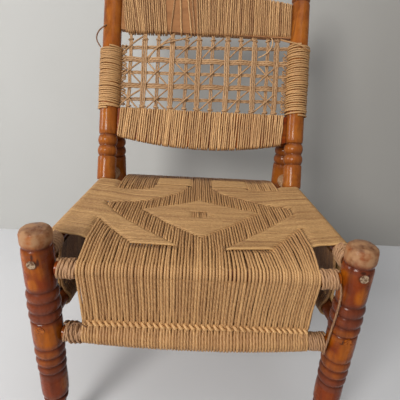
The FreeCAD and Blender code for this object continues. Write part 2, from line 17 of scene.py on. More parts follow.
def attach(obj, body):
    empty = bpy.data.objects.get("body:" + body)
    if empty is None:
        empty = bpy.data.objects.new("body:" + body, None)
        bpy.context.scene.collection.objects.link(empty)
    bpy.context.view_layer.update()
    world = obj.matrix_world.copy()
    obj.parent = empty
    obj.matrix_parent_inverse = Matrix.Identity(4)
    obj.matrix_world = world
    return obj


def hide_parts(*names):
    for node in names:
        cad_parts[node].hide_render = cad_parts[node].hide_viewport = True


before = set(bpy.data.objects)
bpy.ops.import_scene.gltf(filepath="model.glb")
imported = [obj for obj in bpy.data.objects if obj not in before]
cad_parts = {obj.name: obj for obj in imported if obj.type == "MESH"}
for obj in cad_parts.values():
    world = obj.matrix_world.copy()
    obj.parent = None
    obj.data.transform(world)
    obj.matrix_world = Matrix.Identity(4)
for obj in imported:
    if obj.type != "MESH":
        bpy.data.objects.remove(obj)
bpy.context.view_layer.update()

# %% [markdown]
# ## Where things are
# All the making below is done in millimetres, because a cord of 4.3 mm is easier to think of than
# one of 0.0043 m. Depths on the seat are counted back from the axes of the front legs, and
# heights from the floor. The back leans, so it has its own frame: sideways, behind, and up along
# the posts from where they stand on the side rails.

# %% The chair's main places
MM = 0.001
FRONT_AXIS = -243.0            # the front legs' axes, from the middle of the chair
LEG_DEPTH = 420.0              # from the front legs' axes to the rear ones'
FRONT_LEG_X = 220.0
REAR_LEG_X = 203.0
SIDE_INSET = FRONT_LEG_X - REAR_LEG_X
SIDE_RUN = math.hypot(LEG_DEPTH, SIDE_INSET)
FRONT_RAIL, REAR_RAIL, SIDE_RAIL = 330, 321, 346   # heights of the upper rails' axes
LOW_END_RAIL, LOW_SIDE_RAIL = 219, 238             # and of the lower ones'
POST_X = 208.0
POST_FOOT = (FRONT_AXIS + 336.0, 356.5)            # how far back and how high the posts stand
LEAN = math.radians(20.5)
CORD = 2.15                    # the cord's radius
ROLL = 12.6                    # from a rail's axis to the middle of the cord round it
ROOT = "root"


def on_seat(x, depth, height):
    """A place counted back from the front legs' axes."""
    return (x, FRONT_AXIS + depth, height)


def on_back(x, behind, up):
    """A place in the leaning back's own frame."""
    return (x, POST_FOOT[0] + behind * math.cos(LEAN) + up * math.sin(LEAN),
            POST_FOOT[1] - behind * math.sin(LEAN) + up * math.cos(LEAN))


def by_side_rail(side, along, out, height):
    """A place along a side rail, which runs inwards to the rear leg."""
    return (side * (FRONT_LEG_X - along * SIDE_INSET / SIDE_RUN + out * LEG_DEPTH / SIDE_RUN),
            FRONT_AXIS + along * LEG_DEPTH / SIDE_RUN + out * SIDE_INSET / SIDE_RUN, height)


def in_metres(points):
    return [tuple(value * MM for value in point) for point in points]


print("top of a post:", [round(value) for value in on_back(POST_X, 0, 458)])

# %% [markdown]
# ## The camera
# The photograph was taken by a phone held low in front of the chair and tilted down by about
# 21 degrees, a little to the left of the middle. Its place and lens were worked out from the
# chair's legs, rails and posts, so here they are simply written down.

# %% The camera at the photograph's viewpoint
def put_in_scene(thing):
    bpy.context.scene.collection.objects.link(thing)
    return thing


def aim_camera(place, pitch, roll, yaw, lens):
    """place is in metres, the angles in radians and the lens in millimetres."""
    data = bpy.data.cameras.new("photograph_camera")
    data.sensor_width = 36
    data.lens = lens
    forward = Vector((math.sin(yaw) * math.cos(pitch), math.cos(yaw) * math.cos(pitch), -math.sin(pitch)))
    right = Vector((math.cos(yaw), -math.sin(yaw), 0))
    up = right.cross(forward)
    tilted_right = right * math.cos(roll) + up * math.sin(roll)
    tilted_up = up * math.cos(roll) - right * math.sin(roll)
    turn = Matrix((tilted_right, tilted_up, -forward)).transposed()
    camera = put_in_scene(bpy.data.objects.new("photograph_camera", data))
    camera.matrix_world = Matrix.Translation(place) @ turn.to_4x4()
    return camera


camera = aim_camera((-0.0136, -0.6671, 0.6076), pitch=0.3752, roll=0.055, yaw=0.0226, lens=32.04)
bpy.context.scene.camera = camera
print("camera at", [round(value, 3) for value in camera.location])

# %% [markdown]
# ## Small helpers for node trees
# Every finish below is a tree of nodes. Writing each node out takes several lines, so a few helpers
# keep that code short: one adds a node and fills in its sockets, one makes a node group with named
# inputs and outputs, which is how Blender lets several materials share one effect, and the others
# stand for the few kinds of node that turn up again and again.

# %% Helpers for nodes
NUMBER, COLOUR, VECTOR = "NodeSocketFloat", "NodeSocketColor", "NodeSocketVector"


def add_node(tree, kind, values=None, **settings):
    """Adds a node. A value that is a socket is linked, and any other is written in."""
    node = tree.nodes.new(kind)
    for name, value in settings.items():
        setattr(node, name, value)
    for key, value in (values or {}).items():
        if isinstance(value, bpy.types.NodeSocket):
            tree.links.new(value, node.inputs[key])
        else:
            node.inputs[key].default_value = value
    return node


def new_group(name, kind, inputs, outputs):
    """A node group. Its inputs are given as (name, socket type, default if there is one)."""
    tree = bpy.data.node_groups.new(name, kind)
    for label, socket_type, *default in inputs:
        socket = tree.interface.new_socket(label, in_out="INPUT", socket_type=socket_type)
        if default:
            socket.default_value = default[0]
    for label, socket_type in outputs:
        tree.interface.new_socket(label, in_out="OUTPUT", socket_type=socket_type)
    return tree, tree.nodes.new("NodeGroupInput").outputs, tree.nodes.new("NodeGroupOutput").inputs


def worked_out(tree, operation, *values):
    """What a Math node makes of one or two values."""
    return add_node(tree, "ShaderNodeMath", dict(enumerate(values)), operation=operation).outputs[0]


def sum_of(tree, first, second):
    return worked_out(tree, "ADD", first, second)


def times(tree, first, second):
    return worked_out(tree, "MULTIPLY", first, second)


def spread(tree, value, low, high, to_low=0.0, to_high=1.0):
    """Stretches the range low to high onto another one, and stops at its ends."""
    return add_node(tree, "ShaderNodeMapRange", {"Value": value, "From Min": low, "From Max": high,
                                                 "To Min": to_low, "To Max": to_high}).outputs["Result"]


def cloudy(tree, place, scale, detail=3.0, **more):
    """Soft noise: a small scale gives large clouds, and more detail gives frayed ones."""
    values = {"Vector": place, "Scale": scale, "Detail": detail, **more}
    return add_node(tree, "ShaderNodeTexNoise", values).outputs[0]


def blended(tree, share, first, second):
    """One colour, or where share is 1 the other. Sockets 6 and 7 are the node's two colours."""
    values = {"Factor": share, 6: first, 7: second}
    return add_node(tree, "ShaderNodeMix", values, data_type="RGBA").outputs[2]


def object_place(tree):
    return add_node(tree, "ShaderNodeTexCoord").outputs["Object"]


print("node helpers ready")

# %% [markdown]
# ## The cord's finish
# The cord is two strips of palm fibre laid round each other. Close up it has slanting ridges, fine
# fibres along them, and a colour that changes from straw to brown, both from one cord to the next
# and in patches of wear. A pattern laid over the whole chair would cut across the cords. So the tree
# that makes them stores how far along and how far round each point is, and the pattern follows every
# bend. It is one node group, because five finishes use it: fresh straw cord, the smoother cord of the
# sides, the pale cord of the slats, browner turns on the rails, and greyer cord in the back.

# %% A node group for laid fibre
FINISH_OUTPUTS = [("Color", COLOUR), ("Roughness", NUMBER), ("Height", NUMBER)]


def laid_fibre_group():
    tree, given, result = new_group("laid_fibre", "ShaderNodeTree", [
        ("Along", NUMBER), ("Round Cosine", NUMBER), ("Round Sine", NUMBER), ("Tone", NUMBER),
        ("Place", VECTOR), ("Lay", NUMBER, 0.011), ("Twist", NUMBER, 1.0), ("Light", COLOUR),
        ("Dark", COLOUR), ("Stain", COLOUR), ("Grime", COLOUR, (0.060, 0.022, 0.009, 1))], FINISH_OUTPUTS)
    along, cosine, sine, tone = (given[label] for label in ("Along", "Round Cosine", "Round Sine", "Tone"))

    # each cord's tone also shifts its pattern, so that no two neighbours match
    turn = worked_out(tree, "DIVIDE", times(tree, along, 2 * math.pi), given["Lay"])
    turn = sum_of(tree, turn, times(tree, tone, 57.0))
    drawn_out = sum_of(tree, times(tree, along, 26.0), times(tree, tone, 90.0))

    # two ridges go round the cord: the sine of twice the angle round it plus the turn
    double_sine = times(tree, times(tree, cosine, sine), 2.0)
    double_cosine = worked_out(tree, "SUBTRACT", times(tree, cosine, cosine), times(tree, sine, sine))
    ridge = sum_of(tree, times(tree, double_sine, worked_out(tree, "COSINE", turn)),
                   times(tree, double_cosine, worked_out(tree, "SINE", turn)))
    ridge = times(tree, ridge, given["Twist"])

    fibre_place = add_node(tree, "ShaderNodeCombineXYZ", {
        "X": drawn_out, "Y": times(tree, cosine, 1.7), "Z": times(tree, sine, 1.7)}).outputs[0]
    fibre = cloudy(tree, fibre_place, 1.6, Roughness=0.6)
    patch = cloudy(tree, given["Place"], 14.0)
    bleach = sum_of(tree, times(tree, spread(tree, fibre, 0.34, 0.66), 0.50), times(tree, tone, 0.30))
    bleach = sum_of(tree, bleach, times(tree, ridge, 0.16))
    straw = blended(tree, spread(tree, bleach, 0.0, 0.80), given["Dark"], given["Light"])
    stained = blended(tree, spread(tree, patch, 0.52, 0.72, 0.0, 0.45), straw, given["Stain"])
    # where the tone has been pushed low, the cord takes the painted shade colour
    painted_dark = blended(tree, spread(tree, bleach, -0.45, 0.02, 0.9, 0.0), stained, given["Grime"])
    tree.links.new(painted_dark, result["Color"])
    tree.links.new(spread(tree, fibre, 0.3, 0.7, 0.68, 0.5), result["Roughness"])
    tree.links.new(sum_of(tree, times(tree, ridge, 0.7), times(tree, fibre, 0.6)), result["Height"])
    return tree


LAID_FIBRE = laid_fibre_group()
print("inputs of the fibre group:", len(LAID_FIBRE.interface.items_tree) - len(FINISH_OUTPUTS))

# %% Finishes made with it
def new_finish(name, seen_as):
    """An empty material; seen_as is its plain colour in Blender's own viewport."""
    finish = bpy.data.materials.new(name)
    finish.use_nodes = True
    finish.diffuse_color = (*seen_as, 1)
    return finish, finish.node_tree, finish.node_tree.nodes["Principled BSDF"]


def attribute(tree, name):
    return add_node(tree, "ShaderNodeAttribute", attribute_name=name).outputs["Fac"]


def wear_group(tree, shader, group, given, depth, strength):
    """Lets a node group give the shader its colour, roughness and relief; depth is in metres."""
    worn = add_node(tree, "ShaderNodeGroup", given, node_tree=group).outputs
    relief = add_node(tree, "ShaderNodeBump", {
        "Height": worn["Height"], "Distance": depth, "Strength": strength}).outputs["Normal"]
    tree.links.new(worn["Color"], shader.inputs["Base Color"])
    tree.links.new(worn["Roughness"], shader.inputs["Roughness"])
    tree.links.new(relief, shader.inputs["Normal"])


def cord_finish(name, light, dark, stain, twist):
    finish, tree, shader = new_finish(name, light)
    given = {label: attribute(tree, label.lower().replace(" ", "_"))
             for label in ("Along", "Round Cosine", "Round Sine", "Tone")}
    given |= {"Place": object_place(tree), "Twist": twist, "Light": (*light, 1), "Dark": (*dark, 1),
              "Stain": (*stain, 1)}
    wear_group(tree, shader, LAID_FIBRE, given, 0.0007, 0.8)
    shader.inputs["Specular IOR Level"].default_value = 0.45
    return finish


STRAW_CORD = cord_finish("straw_cord", (0.62, 0.355, 0.145), (0.20, 0.082, 0.025), (0.38, 0.19, 0.075), 0.5)
SMOOTH_CORD = cord_finish("smooth_cord", (0.57, 0.335, 0.130), (0.21, 0.092, 0.028), (0.38, 0.20, 0.075), 0.2)
SLAT_CORD = cord_finish("slat_cord", (0.73, 0.43, 0.185), (0.16, 0.058, 0.016), (0.38, 0.185, 0.07), 0.5)
RAIL_CORD = cord_finish("rail_cord", (0.50, 0.285, 0.14), (0.20, 0.09, 0.040), (0.34, 0.175, 0.085), 1.0)
BACK_CORD = cord_finish("back_cord", (0.60, 0.36, 0.175), (0.22, 0.105, 0.040), (0.38, 0.225, 0.12), 1.0)
print("cord finishes:", STRAW_CORD.name, SMOOTH_CORD.name, SLAT_CORD.name, RAIL_CORD.name, BACK_CORD.name)

# %% [markdown]
# ## From lines to cord
# Over eight hundred lengths of cord make this chair. Modelling them one by one would be endless, so
# each length is only a line here, a row of points, and one tree of Geometry Nodes gives all the
# lines their round body. It turns the edges into curves, sweeps a small ring along them, scales
# the ring by the girth stored on each point, and stores how far along and round each point is for
# the finish. A sweep is used rather than a bevelled curve because the ring's scale and the
# stored numbers then come out as plain attributes that the finish can read.

# %% The tree that gives lines their body
def stored(tree, geometry, label, value):
    """Keeps a number on each point, where the finish can read it."""
    return add_node(tree, "GeometryNodeStoreNamedAttribute", {
        "Geometry": geometry, "Name": label, "Value": value}).outputs[0]


def cord_tree():
    tree, given, result = new_group("cord_from_lines", "GeometryNodeTree", [
        ("Lines", "NodeSocketGeometry"), ("Sides", "NodeSocketInt", 6), ("Finish", "NodeSocketMaterial")],
        [("Cords", "NodeSocketGeometry")])
    curves = add_node(tree, "GeometryNodeMeshToCurve", {"Mesh": given["Lines"]}).outputs[0]
    measured = stored(tree, curves, "along", add_node(tree, "GeometryNodeSplineParameter").outputs["Length"])
    ring = add_node(tree, "GeometryNodeCurvePrimitiveCircle", {
        "Resolution": given["Sides"], "Radius": 1.0}).outputs[0]
    turn = times(tree, add_node(tree, "GeometryNodeSplineParameter").outputs["Factor"], 2 * math.pi)
    for label, operation in (("round_cosine", "COSINE"), ("round_sine", "SINE")):
        ring = stored(tree, ring, label, worked_out(tree, operation, turn))
    girth = add_node(tree, "GeometryNodeInputNamedAttribute", {"Name": "girth"}).outputs["Attribute"]
    swept = add_node(tree, "GeometryNodeCurveToMesh", {
        "Curve": measured, "Profile Curve": ring, "Scale": girth, "Fill Caps": True}).outputs[0]
    smooth = add_node(tree, "GeometryNodeSetShadeSmooth", {"Geometry": swept}).outputs[0]
    real = add_node(tree, "GeometryNodeRealizeInstances", {"Geometry": smooth}).outputs[0]
    finished = add_node(tree, "GeometryNodeSetMaterial", {
        "Geometry": real, "Material": given["Finish"]}).outputs[0]
    tree.links.new(finished, result["Cords"])
    return tree


CORD_TREE = cord_tree()
SOCKETS = {item.name: item.identifier for item in CORD_TREE.interface.items_tree if item.in_out == "INPUT"}
print("modifier inputs:", SOCKETS)

# %% A row of points becomes a length of cord
SWELLS = 0.045       # how quickly a cord's thickness changes from place to place, per millimetre
FADES = 0.013        # and its colour
SHADE_AND_WEAR_DEPTH = 1.8    # how much of a tone the strongest painted shade takes away


def line(points, girth=CORD, tone=0.5, grime=None):
    """One length of cord: points in millimetres, radius, how light it is, and how much shade is painted on
    each point; negative values paint it paler.
    """
    return {"points": points, "girth": girth, "tone": tone, "grime": grime or [0.0] * len(points)}


def mesh_with(name, points, edges, faces, attributes):
    """A mesh whose points, given in millimetres, carry numbers for the finish."""
    mesh = bpy.data.meshes.new(name)
    mesh.from_pydata(in_metres(points), edges, faces)
    for label, values in attributes.items():
        mesh.attributes.new(label, "FLOAT", "POINT").data.foreach_set("value", values)
    return mesh


def chair_piece(name, mesh, nodes):
    """Makes a mesh a piece of the chair, which may stand for nodes of the CAD."""
    piece = put_in_scene(bpy.data.objects.new(name, mesh))
    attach(piece, ROOT)
    if nodes:
        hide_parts(*nodes)
    return piece


def cord_piece(name, lines, finish, nodes=(), sides=6, unevenness=0.07, drift=0.35):
    """Makes one piece of many lengths of cord, a plain mesh at the end."""
    points, edges, girths, tones = [], [], [], []
    for item in lines:
        first = len(points)
        points += item["points"]
        edges += [(index, index + 1) for index in range(first, len(points) - 1)]
        for point, grime in zip(item["points"], item["grime"]):
            swell = noise.noise(Vector(point) * SWELLS + Vector((item["tone"] * 40, 0, 0)))
            girths.append(item["girth"] * MM * (1 + unevenness * swell))
            change = noise.noise(Vector(point) * FADES + Vector((0, 0, item["tone"] * 60)))
            tones.append(item["tone"] + drift * change - SHADE_AND_WEAR_DEPTH * grime)
    mesh = mesh_with(f"{name}_lines", points, edges, [], {"girth": girths, "tone": tones})
    holder = put_in_scene(bpy.data.objects.new(f"{name}_lines", mesh))
    modifier = holder.modifiers.new("cord", "NODES")
    modifier.node_group = CORD_TREE
    modifier[SOCKETS["Sides"]] = sides
    modifier[SOCKETS["Finish"]] = finish
    graph = bpy.context.evaluated_depsgraph_get()
    plain = bpy.data.meshes.new_from_object(holder.evaluated_get(graph), preserve_all_data_layers=True,
                                            depsgraph=graph)
    plain.name = name
    holder.modifiers.remove(modifier)
    bpy.data.objects.remove(holder)
    bpy.data.meshes.remove(mesh)
    print(f"{name}: {len(lines)} lengths, {sum(len(face.vertices) - 2 for face in plain.polygons)} triangles")
    return chair_piece(name, plain, nodes)


print("a full cord is", 2 * CORD, "mm thick")

# %% [markdown]
# ## The seat's pattern
# On the seat one set of cords runs from front to back and the other from side to side. Where the
# side-to-side cords lie on top, the seat looks smooth, and where the others do, it looks striped.
# The common pattern of diamonds is made by those two looks alone. So it is enough to say where the
# smooth patches are, seen from above, and every cord then knows where to rise and where to dive.

# %% Where the seat is smooth
SMOOTH_PATCHES = {
    "front left wedge": [(-175, 178), (-175, 126), (-150, 95), (-125, 70), (-104, 47), (-100, 41), (-31, 41),
                         (-45, 52), (-100, 103), (-150, 152), (-165, 172)],
    "front right wedge": [(175, 172), (170, 165), (150, 150), (100, 98), (50, 50), (35, 36), (103, 36),
                          (140, 80), (165, 107), (175, 112)],
    "rear left wedge": [(-175, 262), (-165, 260), (-97, 284), (-97, 304), (-24, 304), (-27, 296), (-50, 255),
                        (-100, 216), (-165, 190), (-175, 188)],
    "rear right wedge": [(24, 304), (108, 304), (108, 298), (172, 286), (176, 286), (176, 198), (170, 195),
                         (150, 205), (100, 234), (50, 262), (27, 296)],
    "rear left block": [(-94, 312), (-16, 312), (-16, 362), (-94, 362)],
    "rear right block": [(26, 312), (107, 312), (107, 362), (26, 362)],
    "middle diamond": [(-106, 172), (-45, 199), (0, 226), (50, 200), (109, 177), (50, 114), (2, 70),
                       (-50, 114)],
}
STRIPED_KNOT = [[(-13, 142), (1, 142), (1, 172), (-13, 172)], [(5, 146), (13, 146), (13, 170), (5, 170)],
                [(20, 148), (24, 148), (24, 158), (20, 158)]]
SMOOTH_SIDES = 172    # outside this the crosswise cords are always on top
EASING = (-4.5, -2.2, 0, 2.2, 4.5)    # a cord rises or dives over this length


def inside(x, y, corners):
    """Whether a point lies inside a closed outline."""
    within = False
    for (x1, y1), (x2, y2) in zip(corners, corners[1:] + corners[:1]):
        if (y1 > y) != (y2 > y) and x < x1 + (y - y1) * (x2 - x1) / (y2 - y1):
            within = not within
    return within


def striped(x, depth):
    """1 where the front-to-back cords lie on top, and -1 where the others do."""
    if abs(x) > SMOOTH_SIDES:
        return -1
    if any(inside(x, depth, corners) for corners in STRIPED_KNOT):
        return 1
    return -1 if any(inside(x, depth, corners) for corners in SMOOTH_PATCHES.values()) else 1


def softened(x, depth, step_x, step_depth):
    """The same, eased along the cord."""
    return sum(striped(x + step_x * shift, depth + step_depth * shift) for shift in EASING) / len(EASING)


print("smooth patches:", len(SMOOTH_PATCHES))

# %% The seat's height between the rails
SEAT_FLAT = 347.8     # the middle of the seat's two layers, away from the rails
EDGE_REACH = 92       # how far in from the end rails the cords slope
LEVEL_HALF = 128      # how far out from the middle the crosswise cords stay level


def clamped(value):
    """Held between 0 and 1."""
    return max(0.0, min(1.0, value))


def drifting(x, y, z):
    """A number from about -1 to 1 that changes smoothly from place to place."""
    return noise.noise(Vector((x, y, z)))


def rail_x(depth):
    """Where a side rail's axis is at this depth."""
    return FRONT_LEG_X - SIDE_INSET * depth / LEG_DEPTH


def lengthwise_height(depth):
    """The front-to-back cords slope up from the front rail and down to the rear one."""
    rise, fall = SEAT_FLAT - FRONT_RAIL - ROLL, SEAT_FLAT - REAR_RAIL - ROLL
    if depth < EDGE_REACH:
        return SEAT_FLAT - rise * (1 - depth / EDGE_REACH)
    return SEAT_FLAT - fall * max(0, depth - LEG_DEPTH + EDGE_REACH) / EDGE_REACH


def bed_height(x, depth):
    """The middle of the two layers: the cords hang straight between the rails and lift each other."""
    outwards = max(0, (abs(x) - LEVEL_HALF) / (rail_x(depth) - LEVEL_HALF))
    across = SEAT_FLAT + (SIDE_RAIL + ROLL - SEAT_FLAT) * outwards
    low = lengthwise_height(depth)
    lifted = clamped(min(depth / 46, (418 - depth) / 110))    # less near the front and the rear rail
    return low + lifted * max(0, across - low)


print("seat height in the middle and at a side rail:", bed_height(0, 200), round(bed_height(216, 200), 1))

# %% How the cords pass the rails, and where shade is painted on them and where they are paler
LEAVING = 100    # degrees from a rail's top to where the cords leave it for the apron
LYING = 12       # degrees from its top to where the seat begins
SLOTS = [        # painted shade in the slots: from and to depth, from and to sideways, how much
    (302, 313, 24, 108, 0.9), (302, 313, -97, -16, 0.9), (34, 42, 36, 103, 0.4), (34, 42, -100, -31, 0.4)]


def over_rail(start, stop, count):
    """Angles of an arc over a rail, from its top outwards, in radians."""
    return [math.radians(start + (stop - start) * step / count) for step in range(count + 1)]


def seat_shade_and_wear(x, depth):
    """Painted shade by the rear rail and in the slots; the front edge is painted paler for wear and a
    highlight, and one rear corner is paler.
    """
    slot = max([shade_and_wear_marks for near, far, left, right, shade_and_wear_marks in SLOTS if near < depth < far and left < x < right],
               default=0.0)
    lightened = 0.35 if x > 108 and 288 < depth < 345 else 0.3 * max(0.0, 1 - depth / 26)
    return max(slot, 0.7 * clamped((depth - 345) / 25)) - lightened


def fanned(x):
    """How far the cords on the right are pushed outwards at the front rail."""
    return 8 * math.sin(math.pi * clamped((x - 35) / 130))


print("steps of an arc over the front rail:", len(over_rail(LEAVING, LYING, 7)))

# %% The cords from front to back
LENGTHWISE = 76
WEAVE_HALF = 166    # from the middle to the last of these cords
chance = random.Random(11)
lengthwise, front_starts, rear_starts = [], [], []
for index in range(LENGTHWISE):
    home = -WEAVE_HALF + 2 * WEAVE_HALF * index / (LENGTHWISE - 1)
    offset = chance.uniform(-0.5, 0.5)
    fan = fanned(home)
    points, shade_and_wear_marks = [], []
    for angle in over_rail(LEAVING, LYING, 7):
        points.append(on_seat(home + fan + offset, -ROLL * math.sin(angle),
                              FRONT_RAIL + ROLL * math.cos(angle)))
        # paler over the front rail's top: wear and a painted highlight
        share = min(1, (LEAVING - math.degrees(angle)) / (LEAVING - LYING))
        shade_and_wear_marks.append(-0.3 * math.sin(math.pi / 2 * share))
    for depth in range(0, 421, 5):
        x = home + offset + fan * max(0, 1 - depth / 60)
        x += 1.4 * drifting(index * 2.3, depth * 0.02, 4)
        ease = clamped(min(depth / 36, (416 - depth) / 50))
        points.append(on_seat(x, depth, bed_height(x, depth) + CORD * ease * softened(home, depth, 0, 1)))
        shade_and_wear_marks.append(seat_shade_and_wear(home, depth))
    for angle in over_rail(LYING, LEAVING, 6):
        points.append(on_seat(home + offset, LEG_DEPTH + ROLL * math.sin(angle),
                              REAR_RAIL + ROLL * math.cos(angle)))
        # painted shade as the cords go round the rear rail, under the back
        shade_and_wear_marks.append(0.7 * (1 - math.degrees(angle) / LEAVING))
    girth, tone = 2.03 * chance.uniform(0.93, 1.08), 0.12 + 0.76 * chance.random()
    lengthwise.append(line(points, girth, tone, shade_and_wear_marks))
    front_starts.append((home + fan + offset, home + 0.7 * fan, girth, tone))
    rear_starts.append((home + offset, home, girth, tone))

# an inner layer at the rear and the front, where nothing runs crosswise; its low tone paints the shade in the
# gaps between the cords above
for index in range(LENGTHWISE - 1):
    x = 2.2 - WEAVE_HALF + 2 * WEAVE_HALF * index / (LENGTHWISE - 1)
    rear = [on_seat(x, depth, lengthwise_height(depth) - 2 * CORD) for depth in (356, 370, 384, 398, 413)]
    lengthwise.append(line(rear, 2.35, -0.2))
    x += fanned(x)
    front = [on_seat(x, depth, 338.6 if depth < 8 else 339.4) for depth in (-4, 4, 14, 26, 38, 50, 56)]
    lengthwise.append(line(front, 2.45, -0.2 + 0.2 * chance.random()))
cord_piece("seat_lengthwise_cords", lengthwise, STRAW_CORD, ["seat_weave"])

# %% The cords from side to side
CROSSWISE = 57
IN_THE_MIDDLE = (43, 302)        # depths of the first and the last of them, halfway across
AT_THE_RAILS = (56, 307)         # and at the side rails
ALONG_RAIL = 1.0008              # a side rail is this much longer than it is deep
crosswise, side_starts = [], []


def pushed_forward(x, index):
    """The first few of these cords lie further forward right of the middle."""
    return 5 * max(0, 1 - index / 7) * clamped((x + 20) / 50) * max(0, 1 - abs(x) / 190)


for index in range(CROSSWISE):
    share = index / (CROSSWISE - 1)
    middle, end = (first + (last - first) * share for first, last in (IN_THE_MIDDLE, AT_THE_RAILS))
    along, edge = end * ALONG_RAIL, rail_x(end)
    offset = chance.uniform(-0.35, 0.35)
    left_arc, right_arc = (
        [by_side_rail(side, along, ROLL * math.sin(angle), SIDE_RAIL + ROLL * math.cos(angle))
         for angle in over_rail(LYING, LEAVING, 6)] for side in (-1, 1))
    points, shade_and_wear_marks = left_arc[::-1], [0.0] * len(left_arc)
    for step in range(85):
        x = -edge + 2 * edge * step / 84
        depth = middle + (end - middle) * (abs(x) / edge) ** 1.6 + offset
        depth += 0.45 * drifting(x * 0.012, index * 2.7, 9) - pushed_forward(x, index)
        above = softened(x, depth, 1, 0)
        points.append(on_seat(x, depth, bed_height(x, depth) - CORD * clamped((200 - abs(x)) / 26) * above))
        # painted shade where these cords lie under the lengthwise ones
        shade_and_wear_marks.append(0.5 * max(0, above))
    tone = 1.35 if index == 0 else -0.15 + 1.05 * chance.random()
    girth = 2.16 * chance.uniform(0.92, 1.10)
    crosswise.append(line(points + right_arc, girth, tone, shade_and_wear_marks + [0.0] * len(right_arc)))
    side_starts.append((along, along, girth, tone))

# the rearmost ones end between the posts and dive under the others at both ends
for index in range(9):
    level = 315.5 + 5.1 * index
    points, shade_and_wear_marks = [], []
    for x in (-169, *range(-166, 167, 4), 169):
        above = softened(x, level, 1, 0)
        if abs(x) == 169:
            points.append(on_seat(x, level, bed_height(x, level) - 5))
        else:
            depth = level + 0.4 * drifting(x * 0.02, index * 3.1, 2)
            points.append(on_seat(x, depth, bed_height(x, level) - CORD * above))
        # painted shade where these cords lie under the lengthwise ones
        shade_and_wear_marks.append(0.7 * max(0, above))
    crosswise.append(line(points, 2.45 * chance.uniform(0.95, 1.05), 0.2 + 0.65 * chance.random(), shade_and_wear_marks))
cord_piece("seat_crosswise_cords", crosswise, SMOOTH_CORD, ["seat_weave"], drift=0.6)

# %% [markdown]
# ## The aprons
# The seat's cords don't end at the rails. They run on down as a curtain, go round the lower rail and
# come up again behind, and a pair of twined strands just above the lower rail holds them in twos.
# A curtain made by itself would leave a seam at the rail. So each apron starts where the seat's
# cords left off, and gets their places, girths and colours. The front one is fattest in its middle.

# %% Cords of an apron
def apron_lines(place, starts, top, bottom, fullness, sag, seed):
    """place turns (along, out, height) into a point of the chair; starts are the seat's cords."""
    dice = random.Random(seed)
    leaving = math.radians(LEAVING)
    result = []
    for index, (above, along, girth, tone) in enumerate(starts):
        middling = 1 - (2 * index / (len(starts) - 1) - 1) ** 2
        radius = ROLL + 0.4 + fullness * middling
        centre = bottom - sag * middling
        pinch = 0.7 if index % 2 == 0 else -0.7
        sway, hang = dice.uniform(-0.55, 0.55), dice.uniform(-0.6, 0.5)
        slant = above - along
        route = [(slant, ROLL * math.sin(leaving), top + ROLL * math.cos(leaving)),
                 (slant * 0.9, 11.1, top - 10), (slant * 0.8 + sway * 0.2, 9.4, top - 20),
                 (slant * 0.5 + sway * 0.6, 6.0 + hang * 0.7, top - 40),
                 (slant * 0.2 + sway, 3.4 + hang, (top + bottom) / 2), (pinch * 0.4, 2.6, bottom + 34),
                 (pinch, 2.3, bottom + 26), (pinch, 2.8, bottom + 21)]
        for step in range(13):
            angle = math.radians(32 + 296 * step / 12)
            route.append((2.25 * step / 12, radius * math.sin(angle), centre + radius * math.cos(angle)))
        route += [(2.25, -2.2, bottom + 22), (2.25, -1.5, bottom + 40), (2.25, -1.8, top - 40),
                  (2.25, -6.4, top - 11)]
        points = [place(along + shift, out, height) for shift, out, height in route]
        hidden = 14    # from here on the cord is at the back of the rail, inside the apron, and gets painted shade
        shade_and_wear_marks = [0.0] * hidden + [min(1.0, step / 4) for step in range(len(points) - hidden)]
        gap = starts[min(index + 1, len(starts) - 1)][0] - above
        result.append(line(points, max(girth * 1.09, gap / 2 + 0.05), tone, shade_and_wear_marks))
    return result


def twining_lines(place, starts, height, seed):
    """Two strands that pass each other between every two cords."""
    dice = random.Random(seed)
    strands = []
    for hand in (0, 1):
        points = []
        for step in range(2, 3 * (len(starts) - 1)):
            index, third = divmod(step, 3)
            here, later = starts[index][1], starts[index + 1][1]
            turn = math.pi * (step - 1.5) / 6 + math.pi * hand
            points.append(place(here + (later - here) * third / 3, 2.4 + 5.2 * math.cos(turn),
                                height - 2.5 * math.sin(turn)))
        strands.append(line(points, 2.45, 1.6 + 0.1 * dice.random()))
    return strands


print("cords of the front apron:", len(front_starts), "and of a side one:", len(side_starts))

# %% The four aprons
TWINING_RISE = 21.5    # of the twined strands above the lower rail's axis


def front_place(along, out, height):
    """A place in front of the front rails."""
    return on_seat(along, -out, height)


def rear_place(along, out, height):
    return on_seat(along, LEG_DEPTH + out, height)


def side_place(side):
    """The same beside a side's rails, counted back from its front leg."""
    return lambda along, out, height: by_side_rail(side, along, out, height)


def apron(name, place, starts, top, bottom, fullness, sag, seeds, finish, drift):
    lines = apron_lines(place, starts, top, bottom, fullness, sag, seeds[0])
    lines += twining_lines(place, starts, bottom + TWINING_RISE, seeds[1])
    cord_piece(f"{name}_apron_cords", lines, finish, [f"{name}_apron_weave"], drift=drift)


apron("front", front_place, front_starts, FRONT_RAIL, LOW_END_RAIL, 2.2, 5.0, (21, 22), STRAW_CORD, 0.35)
apron("rear", rear_place, rear_starts, REAR_RAIL, LOW_END_RAIL, 1.2, 2.0, (31, 32), STRAW_CORD, 0.35)
for hand, side in (("left", -1), ("right", 1)):
    apron(hand, side_place(side), side_starts, SIDE_RAIL, LOW_SIDE_RAIL, 1.2, 2.0, (41 + side, 45 + side),
          SMOOTH_CORD, 0.6)

# %% [markdown]
# ## Turns round the ends of the rails
# Between the weave and the legs the rails are wound with the same cord, browner from handling. One
# screw line would do for the shape, but the real turns lean, crowd and gape a little, so every turn
# has its own lean and its own size, and the cord eases from one to the next.

# %% Turns of cord on a rail
TURN_STEPS = 16    # points to a turn


